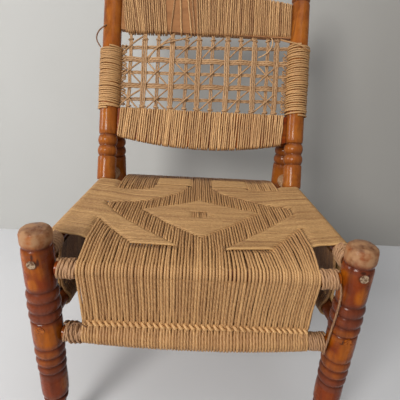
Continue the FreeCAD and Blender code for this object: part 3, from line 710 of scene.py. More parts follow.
def along_turns(turns):
    """Steps through a winding, as the step, the turn it is in and how far round that turn it is."""
    for step in range(turns * TURN_STEPS + 1):
        turn, part = divmod(step, TURN_STEPS)
        yield step, turn, part / TURN_STEPS


def eased(values, turn, share):
    """From one turn's own value to the next one's."""
    return values[turn] * (1 - share) + values[min(turn + 1, len(values) - 1)] * share


def rail_turns(place, height, start, end, turns, lean, seed, radius=12.4, girth=2.02):
    """start and end are places along the rail whose axis lies at that height."""
    dice = random.Random(seed)
    radii = [radius + dice.uniform(-0.2, 1.2) for _ in range(turns + 1)]
    leans = [lean + dice.uniform(-0.8, 0.8) for _ in range(turns + 1)]
    nudges = [dice.uniform(-0.5, 0.5) for _ in range(turns + 1)]
    points = []
    for step, turn, share in along_turns(turns):
        angle = 2 * math.pi * share
        along = start + (end - start) * step / (turns * TURN_STEPS)
        along += eased(leans, turn, share) * math.cos(angle) + eased(nudges, turn, share)
        out = eased(radii, turn, share)
        points.append(place(along, out * math.sin(angle), height + out * math.cos(angle)))
    return line(points, girth, 0.5 + 0.3 * dice.random())


turns = [
    rail_turns(front_place, FRONT_RAIL, -170, -195, 6, 1.6, 1),
    rail_turns(front_place, FRONT_RAIL, 170, 195, 6, -1.2, 2),
    rail_turns(front_place, LOW_END_RAIL, -169, -195, 8, 2.0, 3, girth=1.7),
    rail_turns(front_place, LOW_END_RAIL, 170, 195, 7, -1.2, 4, girth=1.8),
    rail_turns(front_place, LOW_END_RAIL, -171, -190, 3, -4.0, 13, 14.4, 1.6),
    rail_turns(side_place(1), SIDE_RAIL, 26, 44, 3, 5.0, 16, 14.6, 1.6),
    rail_turns(side_place(-1), SIDE_RAIL, 24, 53, 7, 1.4, 5),
    rail_turns(side_place(1), SIDE_RAIL, 24, 53, 7, 1.8, 6),
    rail_turns(side_place(-1), SIDE_RAIL, 359, 396.5, 9, 1.0, 7),
    rail_turns(side_place(1), SIDE_RAIL, 359, 396.5, 9, 1.0, 8),
]
cord_piece("rail_end_cords", turns, RAIL_CORD, ["rail_end_turns"], sides=8, unevenness=0.12)

# %% [markdown]
# ## The wrapped slats
# Each slat of the back is a bowed board that disappears under cord wound tightly round it. The
# windings could be copies of one turn, but the slat is bowed, so the turns in the middle are longer.
# So each turn is drawn by itself: up the front, a little unsteadily, and sideways behind.

# %% Cord round the slats
SLAT_REACH = 184.0       # from the middle of a slat to its ends
SLAT_FACE = 9.4          # from the middle of its thickness to the cord on its face
CORNER_ROUND = 4.5       # how round the cord goes over its edges
CORNERS = [(-1, 0, 270), (-1, 1, 180), (1, 1, 90), (1, 0, 0)]    # behind, above, and the angle it starts at


def wander_on_slat(x, up):
    """No turn is quite straight on the slat's face, and neighbours lean together."""
    return 0.9 * drifting(x * 0.1, up * 0.05, 1) + 0.7 * drifting(x * 0.7, up * 0.09, 5)


def slat_wrap(low_edge, high_edge, turns, tones, seed):
    """One cord wound along a slat, a line for each turn; turns says where each is below and above."""
    dice = random.Random(seed)
    result = []
    last = None
    for (foot, head), (later, _) in zip(turns, turns[1:]):
        low, high = low_edge(foot) + CORD, high_edge(head) - CORD
        face = SLAT_FACE + dice.uniform(-0.5, 0.7)
        points = [last] if last else []
        for corner, (centre_out, centre_up, start) in enumerate(CORNERS):
            centre = high - CORNER_ROUND if centre_up else low + CORNER_ROUND
            for part in range(4):
                angle = math.radians(start - 30 * part)
                out = centre_out * (face - CORNER_ROUND) + CORNER_ROUND * math.cos(angle)
                up = centre + CORNER_ROUND * math.sin(angle)
                height = (up - low) / (high - low)
                x = foot + (head - foot) * height if corner < 2 else head + (later - head) * (1 - height)
                points.append(on_back(x, out, up))
            if corner == 0:
                for height in (part / 7 for part in range(1, 7)):
                    up = low + (high - low) * height
                    x = foot + (head - foot) * height + wander_on_slat(foot, up)
                    points.append(on_back(x, -face, up))
        last = points[-1]
        girth = 1.88 * dice.uniform(0.88, 1.12)
        result.append(line(points, girth, tones[0] + (tones[1] - tones[0]) * dice.random()))
    return result


def turn_places(start, stop, spacing, lean, seed):
    """Where the turns stand below and above, one after another with small faults."""
    dice = random.Random(seed)
    result = []
    x = start
    while x < stop:
        slant = lean(x) + dice.uniform(-1.8, 1.8)
        result.append((x - slant / 2, x + slant / 2))
        x += spacing(x) * dice.uniform(0.84, 1.16)
    return result


print("turns are drawn from", -SLAT_REACH, "to", SLAT_REACH)

# %% The two slats
GAPE = [(-79, -72), (-55, -62), (-33, -46), (-26, -37), (-18, -27)]   # where the board shows between turns


def even(x):
    return 4.4


def parted(x):
    """The lower slat's turns stand close, but for two places where they have parted."""
    return 4.45 + 2.6 * max(0, 1 - abs(x - 16) / 5) + 2.2 * max(0, 1 - abs(x - 74) / 5)


def bowed(ends, rise):
    return lambda x: ends + rise * (1 - (x / SLAT_REACH) ** 2)


lower_turns = turn_places(-182, 184, parted, lambda x: 3.2 + 3.0 * max(0, -x / SLAT_REACH), 51)
upper_turns = turn_places(-181, -89, even, lambda x: -9 - 4 * clamped((-125 - x) / 40), 52) + GAPE
upper_turns += turn_places(-17, 190, even, lambda x: -8 * max(0, 1 - (x + 17) / 40), 53)
for name, low_edge, high_edge, turns, tones, seed in (
        ("lower", bowed(86.5, -20), lambda x: 153.5, lower_turns, (0.35, 1.5), 54),
        ("upper", lambda x: 320 + 4.5 * x / SLAT_REACH, bowed(399.5, 15), upper_turns, (-0.3, 0.9), 55)):
    cord_piece(f"{name}_slat_cord", slat_wrap(low_edge, high_edge, turns, tones, seed), SLAT_CORD,
               [f"{name}_slat_wrap"], unevenness=0.12)

# %% [markdown]
# ## The laced back
# Between the slats the cord is laced like an open cane pattern: bundles of three and of two run up
# and across and pass over and under each other, and single cords slant from crossing to crossing in
# the gaps. A flat net with a pattern painted on it would be quicker, but light falls through the
# gaps and the crossings cast shadows on each other. So every cord is a line of its own again, which
# swings to the front or to the back where it meets another bundle.

# %% Where the bundles run
BROAD_UPRIGHTS = (-135, -74, -15, 49, 109, 159)
SLIM_UPRIGHTS = (-166, -105, -42, 16, 78, 139)
ROWS = [(173, 183.5, 2), (202.5, 212, 3), (232, 240, 2), (259.5, 267.5, 3), (286.5, 301.5, 2)]
ROW_HALF = 184          # ROWS gives each row's height at this far left and right, and its cords
CORD_PITCH = 4.1        # from cord to cord in a bundle
SWING = 2.3             # how far a bundle swings out at a crossing
CROSSING = 15           # and how far from the crossing that begins
NET_LOW, NET_TALL = 149, 176     # where the uprights begin, and how far up they go
NET_HALF = 187          # how far left and right the rows go
uprights = sorted([(x, 3) for x in BROAD_UPRIGHTS] + [(x, 2) for x in SLIM_UPRIGHTS])
dice = random.Random(61)


def row_height(row, x):
    """The rows hang a little lower at the left."""
    left, right, _ = ROWS[row]
    return left + (right - left) * (x + ROW_HALF) / (2 * ROW_HALF)


def bundle(count):
    """Where the cords of a bundle lie beside its middle."""
    return [(index - (count - 1) / 2) * CORD_PITCH for index in range(count)]


def hump(distance, width):
    return max(0.0, 1 - (distance / width) ** 2)


def in_front(upright_cords, row_cords):
    """Broad uprights pass before every row, and slim ones behind the broad rows."""
    return upright_cords == 3 or row_cords == 2


def laced(points):
    """A cord of a bundle, each with its own girth and tone."""
    return line(points, CORD * dice.uniform(0.9, 1.08), dice.random())


print("bundles upwards:", len(uprights), "and across:", len(ROWS))

# %% Bundles up and across
net = []
for x, count in uprights:
    for beside in bundle(count):
        wander = dice.uniform(-0.25, 0.25)
        points = []
        for up in (NET_LOW + NET_TALL * step / 60 for step in range(61)):
            out = sum((-SWING if in_front(count, cords) else SWING) * hump(up - row_height(row, x), CROSSING)
                      for row, (_, _, cords) in enumerate(ROWS))
            tied = 1 - 0.45 * (hump(up - 157, 9) + hump(up - 313, 9))
            stray = 1.5 * drifting(x, up * 0.016, 0) + 0.5 * drifting(x, up * 0.03, beside)
            points.append(on_back(x + beside * tied + wander + stray, out, up))
        net.append(laced(points))
for row, (_, _, count) in enumerate(ROWS):
    for beside in bundle(count):
        wander = dice.uniform(-0.3, 0.3)
        points = []
        for x in (-NET_HALF + 2 * NET_HALF * step / 124 for step in range(125)):
            out = sum((SWING if in_front(cords, count) else -SWING) * hump(x - place, CROSSING)
                      for place, cords in uprights)
            stray = 1.6 * drifting(x * 0.016, row * 7, 0) + 0.5 * drifting(x * 0.03, row, beside)
            points.append(on_back(x, out, row_height(row, x) + beside * 0.95 + wander + stray))
        net.append(laced(points))
print("bundled cords:", len(net))

# %% Hitches that tie the bundles to the slats
for x, count in uprights:
    for up in (156.5, 157 + 0.5 * count, row_height(4, x) + 17):
        wide = 2.1 * count * 0.62 + 2.2
        tilt = dice.uniform(-1.5, 1.5)
        ring = [on_back(x + wide * math.cos(turn), 3.6 * math.sin(turn), up + tilt * math.cos(turn))
                for turn in [2 * math.pi * step / 10 + 0.3 for step in range(11)]]
        net.append(line(ring, 1.7, 0.3 + 0.6 * dice.random()))
print("with hitches:", len(net))

# %% Single cords slantwise, crossing at the slim bundles
SLANTING = {   # the slim upright: which way the single cords lean at the low, middle and high slim rows
    -166: ("x", "x", "/"), -105: ("x", "x", "/"), -42: ("/", "x", "/"),
    16: ("/", "/", "/"), 78: ("/", "/", "/"), 139: ("x", "x", ""),
}
LEANINGS = {"x": ((1, -5.6), (-1, -3.4)), "/": ((1, -5.6),), "": ()}   # up or down, and how far in front
LONG_STRAND = [(-126, 0, 264), (-118, -4, 275), (-107.5, -6.5, 286), (-98, -7, 292.5), (-90, -7, 297),
               (-76, -6.5, 302), (-62, -6, 306), (-48, -5, 310), (-36, -2, 315), (-32, 2, 319)]
for place, ways in SLANTING.items():
    for row, way in zip((0, 2, 4), ways):
        for rising, lift in LEANINGS[way]:
            reach_x, reach_up = dice.uniform(23, 27), dice.uniform(22, 26)
            level = row_height(row, place) + dice.uniform(-1.5, 1.5)
            bend = dice.uniform(-2.5, 2.5)
            points = []
            for share in (-1 + 2 * step / 14 for step in range(15)):
                x = max(-186, place + share * reach_x + bend * (1 - share * share))
                up = max(151, level + rising * share * reach_up)
                raised = hump(share, 0.9)
                points.append(on_back(x, lift * raised + (1 - raised), up))
            net.append(line(points, CORD * 0.86, 0.2 + 0.6 * dice.random()))
net.append(line([on_back(*point) for point in LONG_STRAND], CORD * 0.95, 0.5))
print("with slanting cords:", len(net))

# %% The lacing's edges, looped to the turns on the posts
for side in (-1, 1):
    for strand in range(2):
        points = []
        for up in (158 + 132 * step / 60 for step in range(61)):
            sway = math.sin(up * 0.42 + strand * 2.1 + 1.3 * drifting(up * 0.05, side, strand))
            points.append(on_back(side * (179.5 + 5.5 * sway), 3.0 * math.cos(up * 0.42 + strand) - 1.0, up))
        net.append(line(points, 1.6, 0.15 + 0.3 * strand))
cord_piece("back_lacing", net, BACK_CORD, ["back_net"])

# %% [markdown]
# ## Turns round the posts
# Each post is wound with about thirty turns that hold the lacing's edges. They are made as the turns
# on the rails are, because they are as uneven: every turn has its own height, tilt and size.

# %% Cord on the posts
POST_ROLL = 22.4     # from a post's axis to the middle of the cord round it


def post_turns(side, low, high, turns, seed):
    dice = random.Random(seed)
    heights = [low + (high - low) * turn / turns + dice.uniform(-0.9, 0.9) for turn in range(turns + 1)]
    proud = [dice.uniform(-0.2, 1.5) for _ in range(turns + 1)]
    tilts = [dice.uniform(-1.3, 1.3) for _ in range(turns + 1)]
    points = []
    for _, turn, share in along_turns(turns):
        angle = 2 * math.pi * share
        radius = POST_ROLL + eased(proud, turn, share)
        up = eased(heights, turn, share) + eased(tilts, turn, share) * math.sin(angle)
        points.append(on_back(side * (POST_X + radius * math.sin(angle)), -radius * math.cos(angle), up))
    return line(points, 2.02, 0.7)


cord_piece("post_cords", [post_turns(-1, 147.5, 280, 30, 71), post_turns(1, 152.5, 305.5, 32, 72)],
           STRAW_CORD, ["post_windings"], unevenness=0.14, drift=0.8)

# %% [markdown]
# ## Loose ends
# The chair has been mended with cord more than once, and a few stiff strands stand out: one
# runs down beside the right leg, one crosses the turns on the right post, and others curl at the
# left post, in the lacing and at the lower rail. Each is one route on a smooth spline. The spline
# could carry the body itself, but then it would lack the numbers that the cord finish reads. So the
# body is swept along points read from the spline.

# %% Loose strands
def smooth_path(name, route):
    """The points, in metres, of a smooth spline that is led by the route's."""
    curve = bpy.data.curves.new(f"{name}_route", "CURVE")
    curve.dimensions = "3D"
    curve.resolution_u = 6
    spline = curve.splines.new("NURBS")
    spline.points.add(len(route) - 1)
    for control, place in zip(spline.points, in_metres(route)):
        control.co = (*place, 1)
    spline.order_u = 3
    spline.use_endpoint_u = True
    holder = put_in_scene(bpy.data.objects.new(f"{name}_route", curve))
    read = bpy.data.meshes.new_from_object(holder.evaluated_get(bpy.context.evaluated_depsgraph_get()))
    path = [tuple(vertex.co) for vertex in read.vertices]
    bpy.data.objects.remove(holder)
    bpy.data.curves.remove(curve)
    bpy.data.meshes.remove(read)
    return path


def loose_strand(name, route, girth, finish, tone):
    """route is in millimetres and starts where the strand leaves the weave; the length printed is its real
    length.
    """
    path = smooth_path(name, route)
    body = [tuple(value / MM for value in point) for point in path]
    piece = cord_piece(name, [line(body, girth, tone)], finish, sides=8, unevenness=0.04, drift=0.3)
    measured = sum((Vector(b) - Vector(a)).length for a, b in zip(path, path[1:]))
    print(f"   {name} is {measured:.4f} m long")


loose_strand("strand_by_right_leg", [on_seat(*point) for point in [
    (193, -15.5, 333), (196, -18, 322), (197, -17.5, 306), (197, -16.5, 283), (195, -16.5, 262),
    (193, -17, 238), (190.5, -17, 211)]], 1.6, RAIL_CORD, -0.3)
loose_strand("loop_at_left_post", [on_back(*point) for point in [
    (-229, -12, 279), (-236, -14, 287), (-239, -16, 299), (-234, -17, 312), (-226, -18, 319),
    (-217, -19.8, 325)]], 1.5, RAIL_CORD, -0.9)
loose_strand("strand_over_right_turns", [on_back(*point) for point in [
    (166, -4, 320), (177, -9, 315), (187, -17, 310), (197, -24.5, 304.5), (208, -28.5, 299.5),
    (219, -26, 294), (228, -19, 292)]], 1.9, STRAW_CORD, 0.5)
loose_strand("hook_in_lacing", [on_back(*point) for point in [
    (143, -4, 326), (148, -6, 318), (148, -7, 306), (142, -7, 293), (131, -6.5, 283), (118, -6, 277)]],
    1.5, BACK_CORD, 1.6)
loose_strand("loop_at_lower_rail", [on_seat(*point) for point in [
    (-158, -13, 240), (-162, -15.5, 247), (-168, -17, 251), (-175, -17.5, 250), (-181, -17, 244),
    (-184, -17, 236)]], 1.0, RAIL_CORD, -0.9)

# %% [markdown]
# ## The turned wood
# Legs and posts come off a lathe, and one outline turned about a line is just what a lathe does.
# Blender's own Screw modifier could spin it, but it leaves every ring a perfect circle. So each is a
# list of heights and radii, with round beads and barrels between the grooves, and the code that
# spins it also gives the wood a slight unevenness, because these are turned by hand, and gives the
# tops of the front legs the dents of long use.

# %% Outlines for the lathe
LEG_FOOT = [
    (0, 13.0), (4, 15.6), (48, 15.8), (50, 13.4), (74, 13.6), (82, 15.0), (91, 18.6), (96, 15.8),
    (99, 18.8), (105, 20.2), (125, 20.6)]
LEG_BEADS = [
    (140, 20.2), (146, 18.4), (153.6, 21.4), (161.4, 19.0), (168.8, 21.9), (177.4, 19.4), (186.3, 22.2),
    (194.6, 20.0), (198, 21.7), (205, 22.1), (220, 22.2), (238, 22.0), (242.6, 21.5), (244, 20.4),
    (251.5, 23.0), (260, 20.4), (269, 23.2), (278, 20.4), (287, 23.0), (295.5, 20.2)]
REAR_LEG = LEG_FOOT + LEG_BEADS + [
    (299, 21.6), (306, 22.3), (335, 22.5), (358, 22.4), (376, 22.5), (381, 21.6), (382.6, 19.2),
    (393, 23.2), (404, 19.3), (414.5, 23.2), (424.6, 19.0), (427.5, 21.2), (434, 21.9), (452, 21.7),
    (460, 19.6), (466, 15.0), (469.3, 8.0), (470, 0.0)]
POST = [
    (-9, 0.0), (-9, 20.0), (38, 20.0), (42, 19.2), (43.5, 17.2), (55, 21.0), (66.5, 17.2), (78.5, 21.0),
    (90.3, 17.0), (93, 19.4), (100, 20.0), (250, 20.0), (396, 20.0), (402, 19.0), (403.5, 16.8),
    (411.5, 20.4), (419.6, 16.4), (424, 19.0), (431, 20.0), (444, 19.6), (452, 16.5), (456.6, 10.5),
    (458, 0.0)]


def front_leg(shift, neck, top):
    """Turned by eye, no two legs are the same: shift raises the beads, neck and top are heights."""
    beads = [(height + shift, radius) for height, radius in LEG_BEADS]
    head = [(299 + shift, 21.0), (306 + shift, 21.5), (330, 21.5), (neck - 7, 21.4), (neck - 3, 20.8),
            (neck, 19.4), (neck + 4, 20.9), (neck + 10, 21.6), (top - 9, 21.4), (top - 5, 19.9),
            (top - 2.2, 16.5), (top - 0.8, 10.0), (top, 0.0)]
    return LEG_FOOT + beads + head


def rounded(outline):
    """Fills the outline in with round shoulders: steep at the groove, flat at the crest."""
    result = []
    for (low, first), (high, last) in zip(outline, outline[1:]):
        plain = abs(last - first) < 0.7 and high - low < 12
        steps = 1 if plain else (10 if high - low > 25 else 6)
        for share in (step / steps for step in range(steps)):
            rise = share
            if high - low > 5:
                growing = last > first
                shoulder = math.sin((share if growing else 1 - share) * math.pi / 2) ** 0.8
                rise = shoulder if growing else 1 - shoulder
            result.append((low + (high - low) * share, first + (last - first) * rise))
    return result + [outline[-1]]


print("rings on a front leg:", len(rounded(front_leg(0, 362, 390))))

# %% A lathe
SEGMENTS = 56       # sides of a turned piece
NEAR = 9            # how far up and down a ring looks for the crests and grooves beside it


def closed(mesh):
    """Joins the points at the ends, closes the foot and turns every face outwards."""
    work = bmesh.new()
    work.from_mesh(mesh)
    bmesh.ops.remove_doubles(work, verts=work.verts, dist=0.00001)
    open_edges = [edge for edge in work.edges if edge.is_boundary]
    if open_edges:
        bmesh.ops.contextual_create(work, geom=open_edges)
    bmesh.ops.recalc_face_normals(work, faces=work.faces)
    for face in work.faces:
        face.smooth = True
    work.to_mesh(mesh)
    work.free()


def turned_piece(name, outline, place, finish, node, worn_from=None, seed=0.0):
    """Spins an outline. place turns (x, y, along) into a point of the chair, in millimetres."""
    rings = rounded(outline)
    points, hollows, worn, beaded = [], [], [], []
    for along, radius in rings:
        beside = [other for height, other in rings if abs(height - along) < NEAR]
        crest, dip = max(beside), min(beside)
        age = 0.0 if worn_from is None else clamped((along - worn_from) / 8)
        for step in range(SEGMENTS):
            angle = 2 * math.pi * step / SEGMENTS
            spot = Vector((math.cos(angle) * 0.9, math.sin(angle) * 0.9, along * 0.02 + seed))
            uneven = 0.30 * noise.noise(spot) + 0.12 * noise.noise(spot * 4)
            dent = age * (1.1 * noise.noise(spot * 2.4 + Vector((3, 1, 7))) + 0.6 * noise.noise(spot * 6))
            size = max(0.0, radius + (uneven + dent) * min(1, radius / 8))
            points.append(place(size * math.cos(angle), size * math.sin(angle), along))
            hollows.append(clamped((crest - radius) / 3.2))
            worn.append(age)
            beaded.append(clamped((crest - dip - 1.0) / 1.2) * (1 - age))
    faces = []
    for ring in range(0, (len(rings) - 1) * SEGMENTS, SEGMENTS):
        for step in range(SEGMENTS):
            later = (step + 1) % SEGMENTS
            faces.append((ring + step, ring + later, ring + SEGMENTS + later, ring + SEGMENTS + step))
    mesh = mesh_with(name, points, [], faces, {"hollow": hollows, "worn": worn, "beaded": beaded})
    closed(mesh)
    mesh.materials.append(finish)
    chair_piece(name, mesh, [node])
    print(f"{name}: {len(mesh.polygons)} faces")


print("sides of a turned piece:", SEGMENTS)

# %% [markdown]
# ## The varnished wood
# The wood is a reddish one under old shiny varnish. On the plain barrels the varnish has gone
# golden in patches, in the grooves it has gathered almost brown, and the tops of the front legs
# are rubbed bare and pale. The lathe stored how deep each point lies and how worn it is, and
# the figure itself is noise drawn out along the grain. A picture of wood would need a seam on every
# round piece, and this needs none. It is one node group again, since the woods differ only in
# colour and in the way their grain runs.

# %% A node group for varnished wood
def varnish_group():
    tree, given, result = new_group("varnished_figure", "ShaderNodeTree", [
        ("Grain", VECTOR), ("Place", VECTOR), ("Hollow", NUMBER), ("Worn", NUMBER), ("Beaded", NUMBER),
        ("Glow", NUMBER), ("Wood", COLOUR), ("Golden", COLOUR), ("Deep", COLOUR),
        ("Bead", COLOUR, (0.16, 0.05, 0.026, 1)), ("Bare", COLOUR, (0.30, 0.145, 0.065, 1))], FINISH_OUTPUTS)
    figure = cloudy(tree, given["Grain"], 34.0, 5.0, Distortion=1.1)
    streak = cloudy(tree, given["Grain"], 120.0)
    cloud = cloudy(tree, given["Place"], 24.0)
    smear = cloudy(tree, given["Place"], 85.0, 4.0)

    # golden patches on the level wood, and more of it where a finish asks for a golden highlight: amber
    # varnish with a painted highlight
    level = worked_out(tree, "SUBTRACT", 1.0, given["Hollow"])
    golden = times(tree, times(tree, spread(tree, cloud, 0.44, 0.62), level),
                   spread(tree, figure, 0.35, 0.6, 0.2, 1.0))
    golden_highlight = times(tree, given["Glow"], spread(tree, figure, 0.30, 0.55, 0.35, 1.0))
    golden = worked_out(tree, "MINIMUM", sum_of(tree, times(tree, golden, 0.8), golden_highlight), 0.5)
    colour = blended(tree, golden, given["Wood"], given["Golden"])
    on_beads = times(tree, given["Beaded"], spread(tree, cloud, 0.3, 0.6, 1.0, 0.45))
    colour = blended(tree, on_beads, colour, given["Bead"])

    # dark figure, dark pores, and varnish gathered in the grooves
    for share in (spread(tree, figure, 0.50, 0.66, 0.0, 0.6), spread(tree, streak, 0.48, 0.75, 0.0, 0.45),
                  spread(tree, given["Hollow"], 0.2, 1.0, 0.0, 0.75)):
        colour = blended(tree, share, colour, given["Deep"])
    lightened = times(tree, given["Worn"], spread(tree, smear, 0.37, 0.60, 0.3, 1.0))
    tree.links.new(blended(tree, lightened, colour, given["Bare"]), result["Color"])
    gloss = sum_of(tree, spread(tree, smear, 0.35, 0.7, 0.16, 0.42), times(tree, lightened, 0.25))
    tree.links.new(gloss, result["Roughness"])
    tree.links.new(sum_of(tree, times(tree, figure, 0.5), times(tree, smear, 0.6)), result["Height"])
    return tree


VARNISH = varnish_group()
print("inputs of the varnish group:", len(VARNISH.interface.items_tree) - len(FINISH_OUTPUTS))

# %% Wood finishes made with it
UPWARDS, SIDEWAYS, BACKWARDS = (1, 1, 0.16), (0.16, 1, 1), (1, 0.16, 1)    # grain along the short one
OLD_VARNISH = {"Wood": (0.18, 0.027, 0.002), "Golden": (0.47, 0.135, 0.005), "Deep": (0.05, 0.010, 0.004),
               "Bead": (0.14, 0.034, 0.015), "Bare": (0.325, 0.172, 0.084)}
BRIGHT_VARNISH = {"Wood": (0.28, 0.075, 0.010), "Golden": (0.43, 0.145, 0.018), "Deep": (0.11, 0.027, 0.007),
                  "Bead": (0.26, 0.072, 0.014)}
# a darker copy of the varnish: painted shade for the side rails under the seat, which the back pegs share
PAINTED_SHADE_VARNISH = {"Wood": (0.11, 0.023, 0.007), "Golden": (0.21, 0.055, 0.012), "Deep": (0.04, 0.010, 0.005)}
BARE_BOARD = {"Wood": (0.33, 0.15, 0.06), "Golden": (0.38, 0.18, 0.072), "Deep": (0.20, 0.085, 0.035)}
LEG_GOLDEN_HIGHLIGHTS = [    # where the front legs' amber varnish has a painted highlight: the middle of each patch and its size
    ((-223, FRONT_AXIS - 18, 312), (9, 14, 13)), ((-219, FRONT_AXIS - 20, 219), (15, 14, 19)),
    ((224, FRONT_AXIS - 19, 316), (12, 14, 18)), ((222, FRONT_AXIS - 20, 221), (14, 14, 20))]


def dab(tree, place, centre, size, edge):
    """A soft oval mark, its centre and size in millimetres: 1 inside, 0 outside. edge is how soft."""
    def vector_math(operation, *values):
        return add_node(tree, "ShaderNodeVectorMath", dict(enumerate(values)), operation=operation).outputs

    apart = vector_math("SUBTRACT", place, in_metres([centre])[0])[0]
    scaled = vector_math("MULTIPLY", apart, tuple(1 / (value * MM) for value in size))[0]
    return spread(tree, vector_math("LENGTH", scaled)["Value"], 1 - edge, 1.0, 1.0, 0.0)


def wood_finish(name, grain, colours, turn=(0, 0, 0), golden_highlights=(), coat=0.15):
    """grain draws the figure out along one direction, and turn leans it with the piece."""
    finish, tree, shader = new_finish(name, (0.30, 0.08, 0.015))
    place = object_place(tree)
    golden_highlight = 0.0
    for centre, size in golden_highlights:
        golden_highlight = sum_of(tree, golden_highlight, dab(tree, place, centre, size, 0.8))
    drawn_out = add_node(tree, "ShaderNodeMapping", {
        "Vector": place, "Scale": grain, "Rotation": turn}).outputs[0]
    given = {label: attribute(tree, label.lower()) for label in ("Hollow", "Worn", "Beaded")}
    given |= {"Grain": drawn_out, "Place": place, "Glow": golden_highlight}
    given |= {label: (*colour, 1) for label, colour in colours.items()}
    wear_group(tree, shader, VARNISH, given, 0.0012, 0.6)
    shader.inputs["Specular IOR Level"].default_value = 0.10
    shader.inputs["Coat Weight"].default_value = coat
    shader.inputs["Coat Roughness"].default_value = 0.10
    return finish


FRONT_LEG_WOOD = wood_finish("front_leg_wood", UPWARDS, OLD_VARNISH, golden_highlights=LEG_GOLDEN_HIGHLIGHTS)
UPRIGHT_WOOD = wood_finish("upright_wood", UPWARDS, BRIGHT_VARNISH)
LEANING_WOOD = wood_finish("leaning_wood", UPWARDS, BRIGHT_VARNISH, turn=(LEAN, 0, 0))
CROSSWISE_WOOD = wood_finish("crosswise_wood", SIDEWAYS, OLD_VARNISH)
DEPTHWISE_WOOD = wood_finish("depthwise_wood", BACKWARDS, PAINTED_SHADE_VARNISH)
SLAT_BOARD = wood_finish("slat_board", SIDEWAYS, BARE_BOARD, coat=0.0)
print("wood finishes ready")

# %% The tenons' end grain, and old marks beside them
LEG_FACE = FRONT_AXIS - 21     # how far back the faces of the front legs lie
OLD_MARKS = [                  # sideways, height, half width and half height of each mark on those faces
    (-219, 346, 7.4, 8.0), (219, 346, 7.6, 7.6), (-219, 357, 2.0, 5.5), (218, 354.5, 4.6, 2.6),
    (-212.5, 349, 2.0, 7.0), (226, 349, 1.8, 5.5), (213.5, 237, 1.3, 4.4), (211.5, 234, 2.6, 1.2)]


def to_paint_over(finish):
    """What a mark needs: the finish's tree, the places on a piece, and the shader's colour."""
    tree = finish.node_tree
    return tree, object_place(tree), tree.nodes["Principled BSDF"].inputs["Base Color"]


def end_grain(finish):
    """Bleaches the ends of the side rails, where they show on the faces of the front legs."""
    tree, place, painted = to_paint_over(finish)
    parts = add_node(tree, "ShaderNodeSeparateXYZ", {0: place}).outputs
    shown = spread(tree, parts["Y"], (FRONT_AXIS - 20) * MM, (FRONT_AXIS - 18) * MM, 1.0, 0.0)
    speck = spread(tree, cloudy(tree, place, 420.0), 0.4, 0.6)
    upper = blended(tree, speck, (0.10, 0.045, 0.02, 1), (0.36, 0.25, 0.16, 1))
    lower = blended(tree, speck, (0.15, 0.030, 0.003, 1), (0.36, 0.095, 0.005, 1))
    grain = blended(tree, spread(tree, parts["Z"], 0.28, 0.30), lower, upper)
    tree.links.new(blended(tree, shown, painted.links[0].from_socket, grain), painted)


def old_marks(finish):
    """Dark gaps round the tenons and cracks above them, on the front legs alone."""
    tree, place, painted = to_paint_over(finish)
    colour = painted.links[0].from_socket
    for x, height, wide, high in OLD_MARKS:
        mark = times(tree, dab(tree, place, (x, LEG_FACE, height), (wide, 12, high), 0.45), 0.8)
        colour = blended(tree, mark, colour, (0.025, 0.008, 0.004, 1))
    tree.links.new(colour, painted)


end_grain(DEPTHWISE_WOOD)
old_marks(FRONT_LEG_WOOD)
print("marks added to", DEPTHWISE_WOOD.name, "and", FRONT_LEG_WOOD.name)

# %% Legs and posts from the lathe
for hand, side, shift, neck, top in (("left", -1, 3.5, 365.5, 393), ("right", 1, 0, 358, 388.5)):
    turned_piece(f"{hand}_front_leg", front_leg(shift, neck, top),
                 lambda x, y, up: on_seat(side * FRONT_LEG_X + x, y, up), FRONT_LEG_WOOD,
                 f"front_leg_{hand}", worn_from=neck + 1, seed=3.0 * side)
    turned_piece(f"{hand}_rear_leg", REAR_LEG,
                 lambda x, y, up: on_seat(side * REAR_LEG_X + x, LEG_DEPTH + y, up), UPRIGHT_WOOD,
                 f"rear_leg_{hand}", seed=7.0 * side)
    turned_piece(f"{hand}_back_post", POST,
                 lambda x, y, up: on_back(side * POST_X + x, y, up), LEANING_WOOD,
                 f"back_post_{hand}", seed=13.0 * side)

# %% [markdown]
# ## Rails, slats and pegs
# These are mostly hidden under cord, and the CAD solids already have their right shapes. They stay,
# and only get the wood's finish, with the grain along each of them.

# %% Finishes for the CAD pieces that stay
KEPT_NODES = [
    # the lower slat's board takes the dark varnish, which shows as painted shade in the gaps between its
    # turns
    (CROSSWISE_WOOD, ["front_seat_rail", "rear_seat_rail", "front_lower_rail", "rear_lower_rail",
                      "lower_back_slat"]),
    (DEPTHWISE_WOOD, ["left_seat_rail", "right_seat_rail", "left_lower_rail", "right_lower_rail",
                      "back_peg_left", "back_peg_right"]),
    (SLAT_BOARD, ["upper_back_slat"])]
for finish, names in KEPT_NODES:
    for name in names:
        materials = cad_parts[name].data.materials
        materials.clear()
        materials.append(finish)
print("CAD pieces kept:", sum(len(names) for _, names in KEPT_NODES))

# %% [markdown]
# ## Floor, wall and light
# The chair stands on a white surface before a grey-white wall, in a room where soft daylight comes
# from the left and above. Two flat sheets with faint clouds in their paint are enough for the room.
# Its light is three round lamps: a broad strong one that gives the soft shadows, a weak one further
# to the left and one overhead, and the world fills what they leave dark. A picture of a real room
# round the scene would be as soft, but lamps can be put where the photograph's shadows ask for them.

# %% Stage
REACH = 4            # how far the floor and the wall go to each side, in metres
WALL_Y = 0.50
WALL_TOP = 3


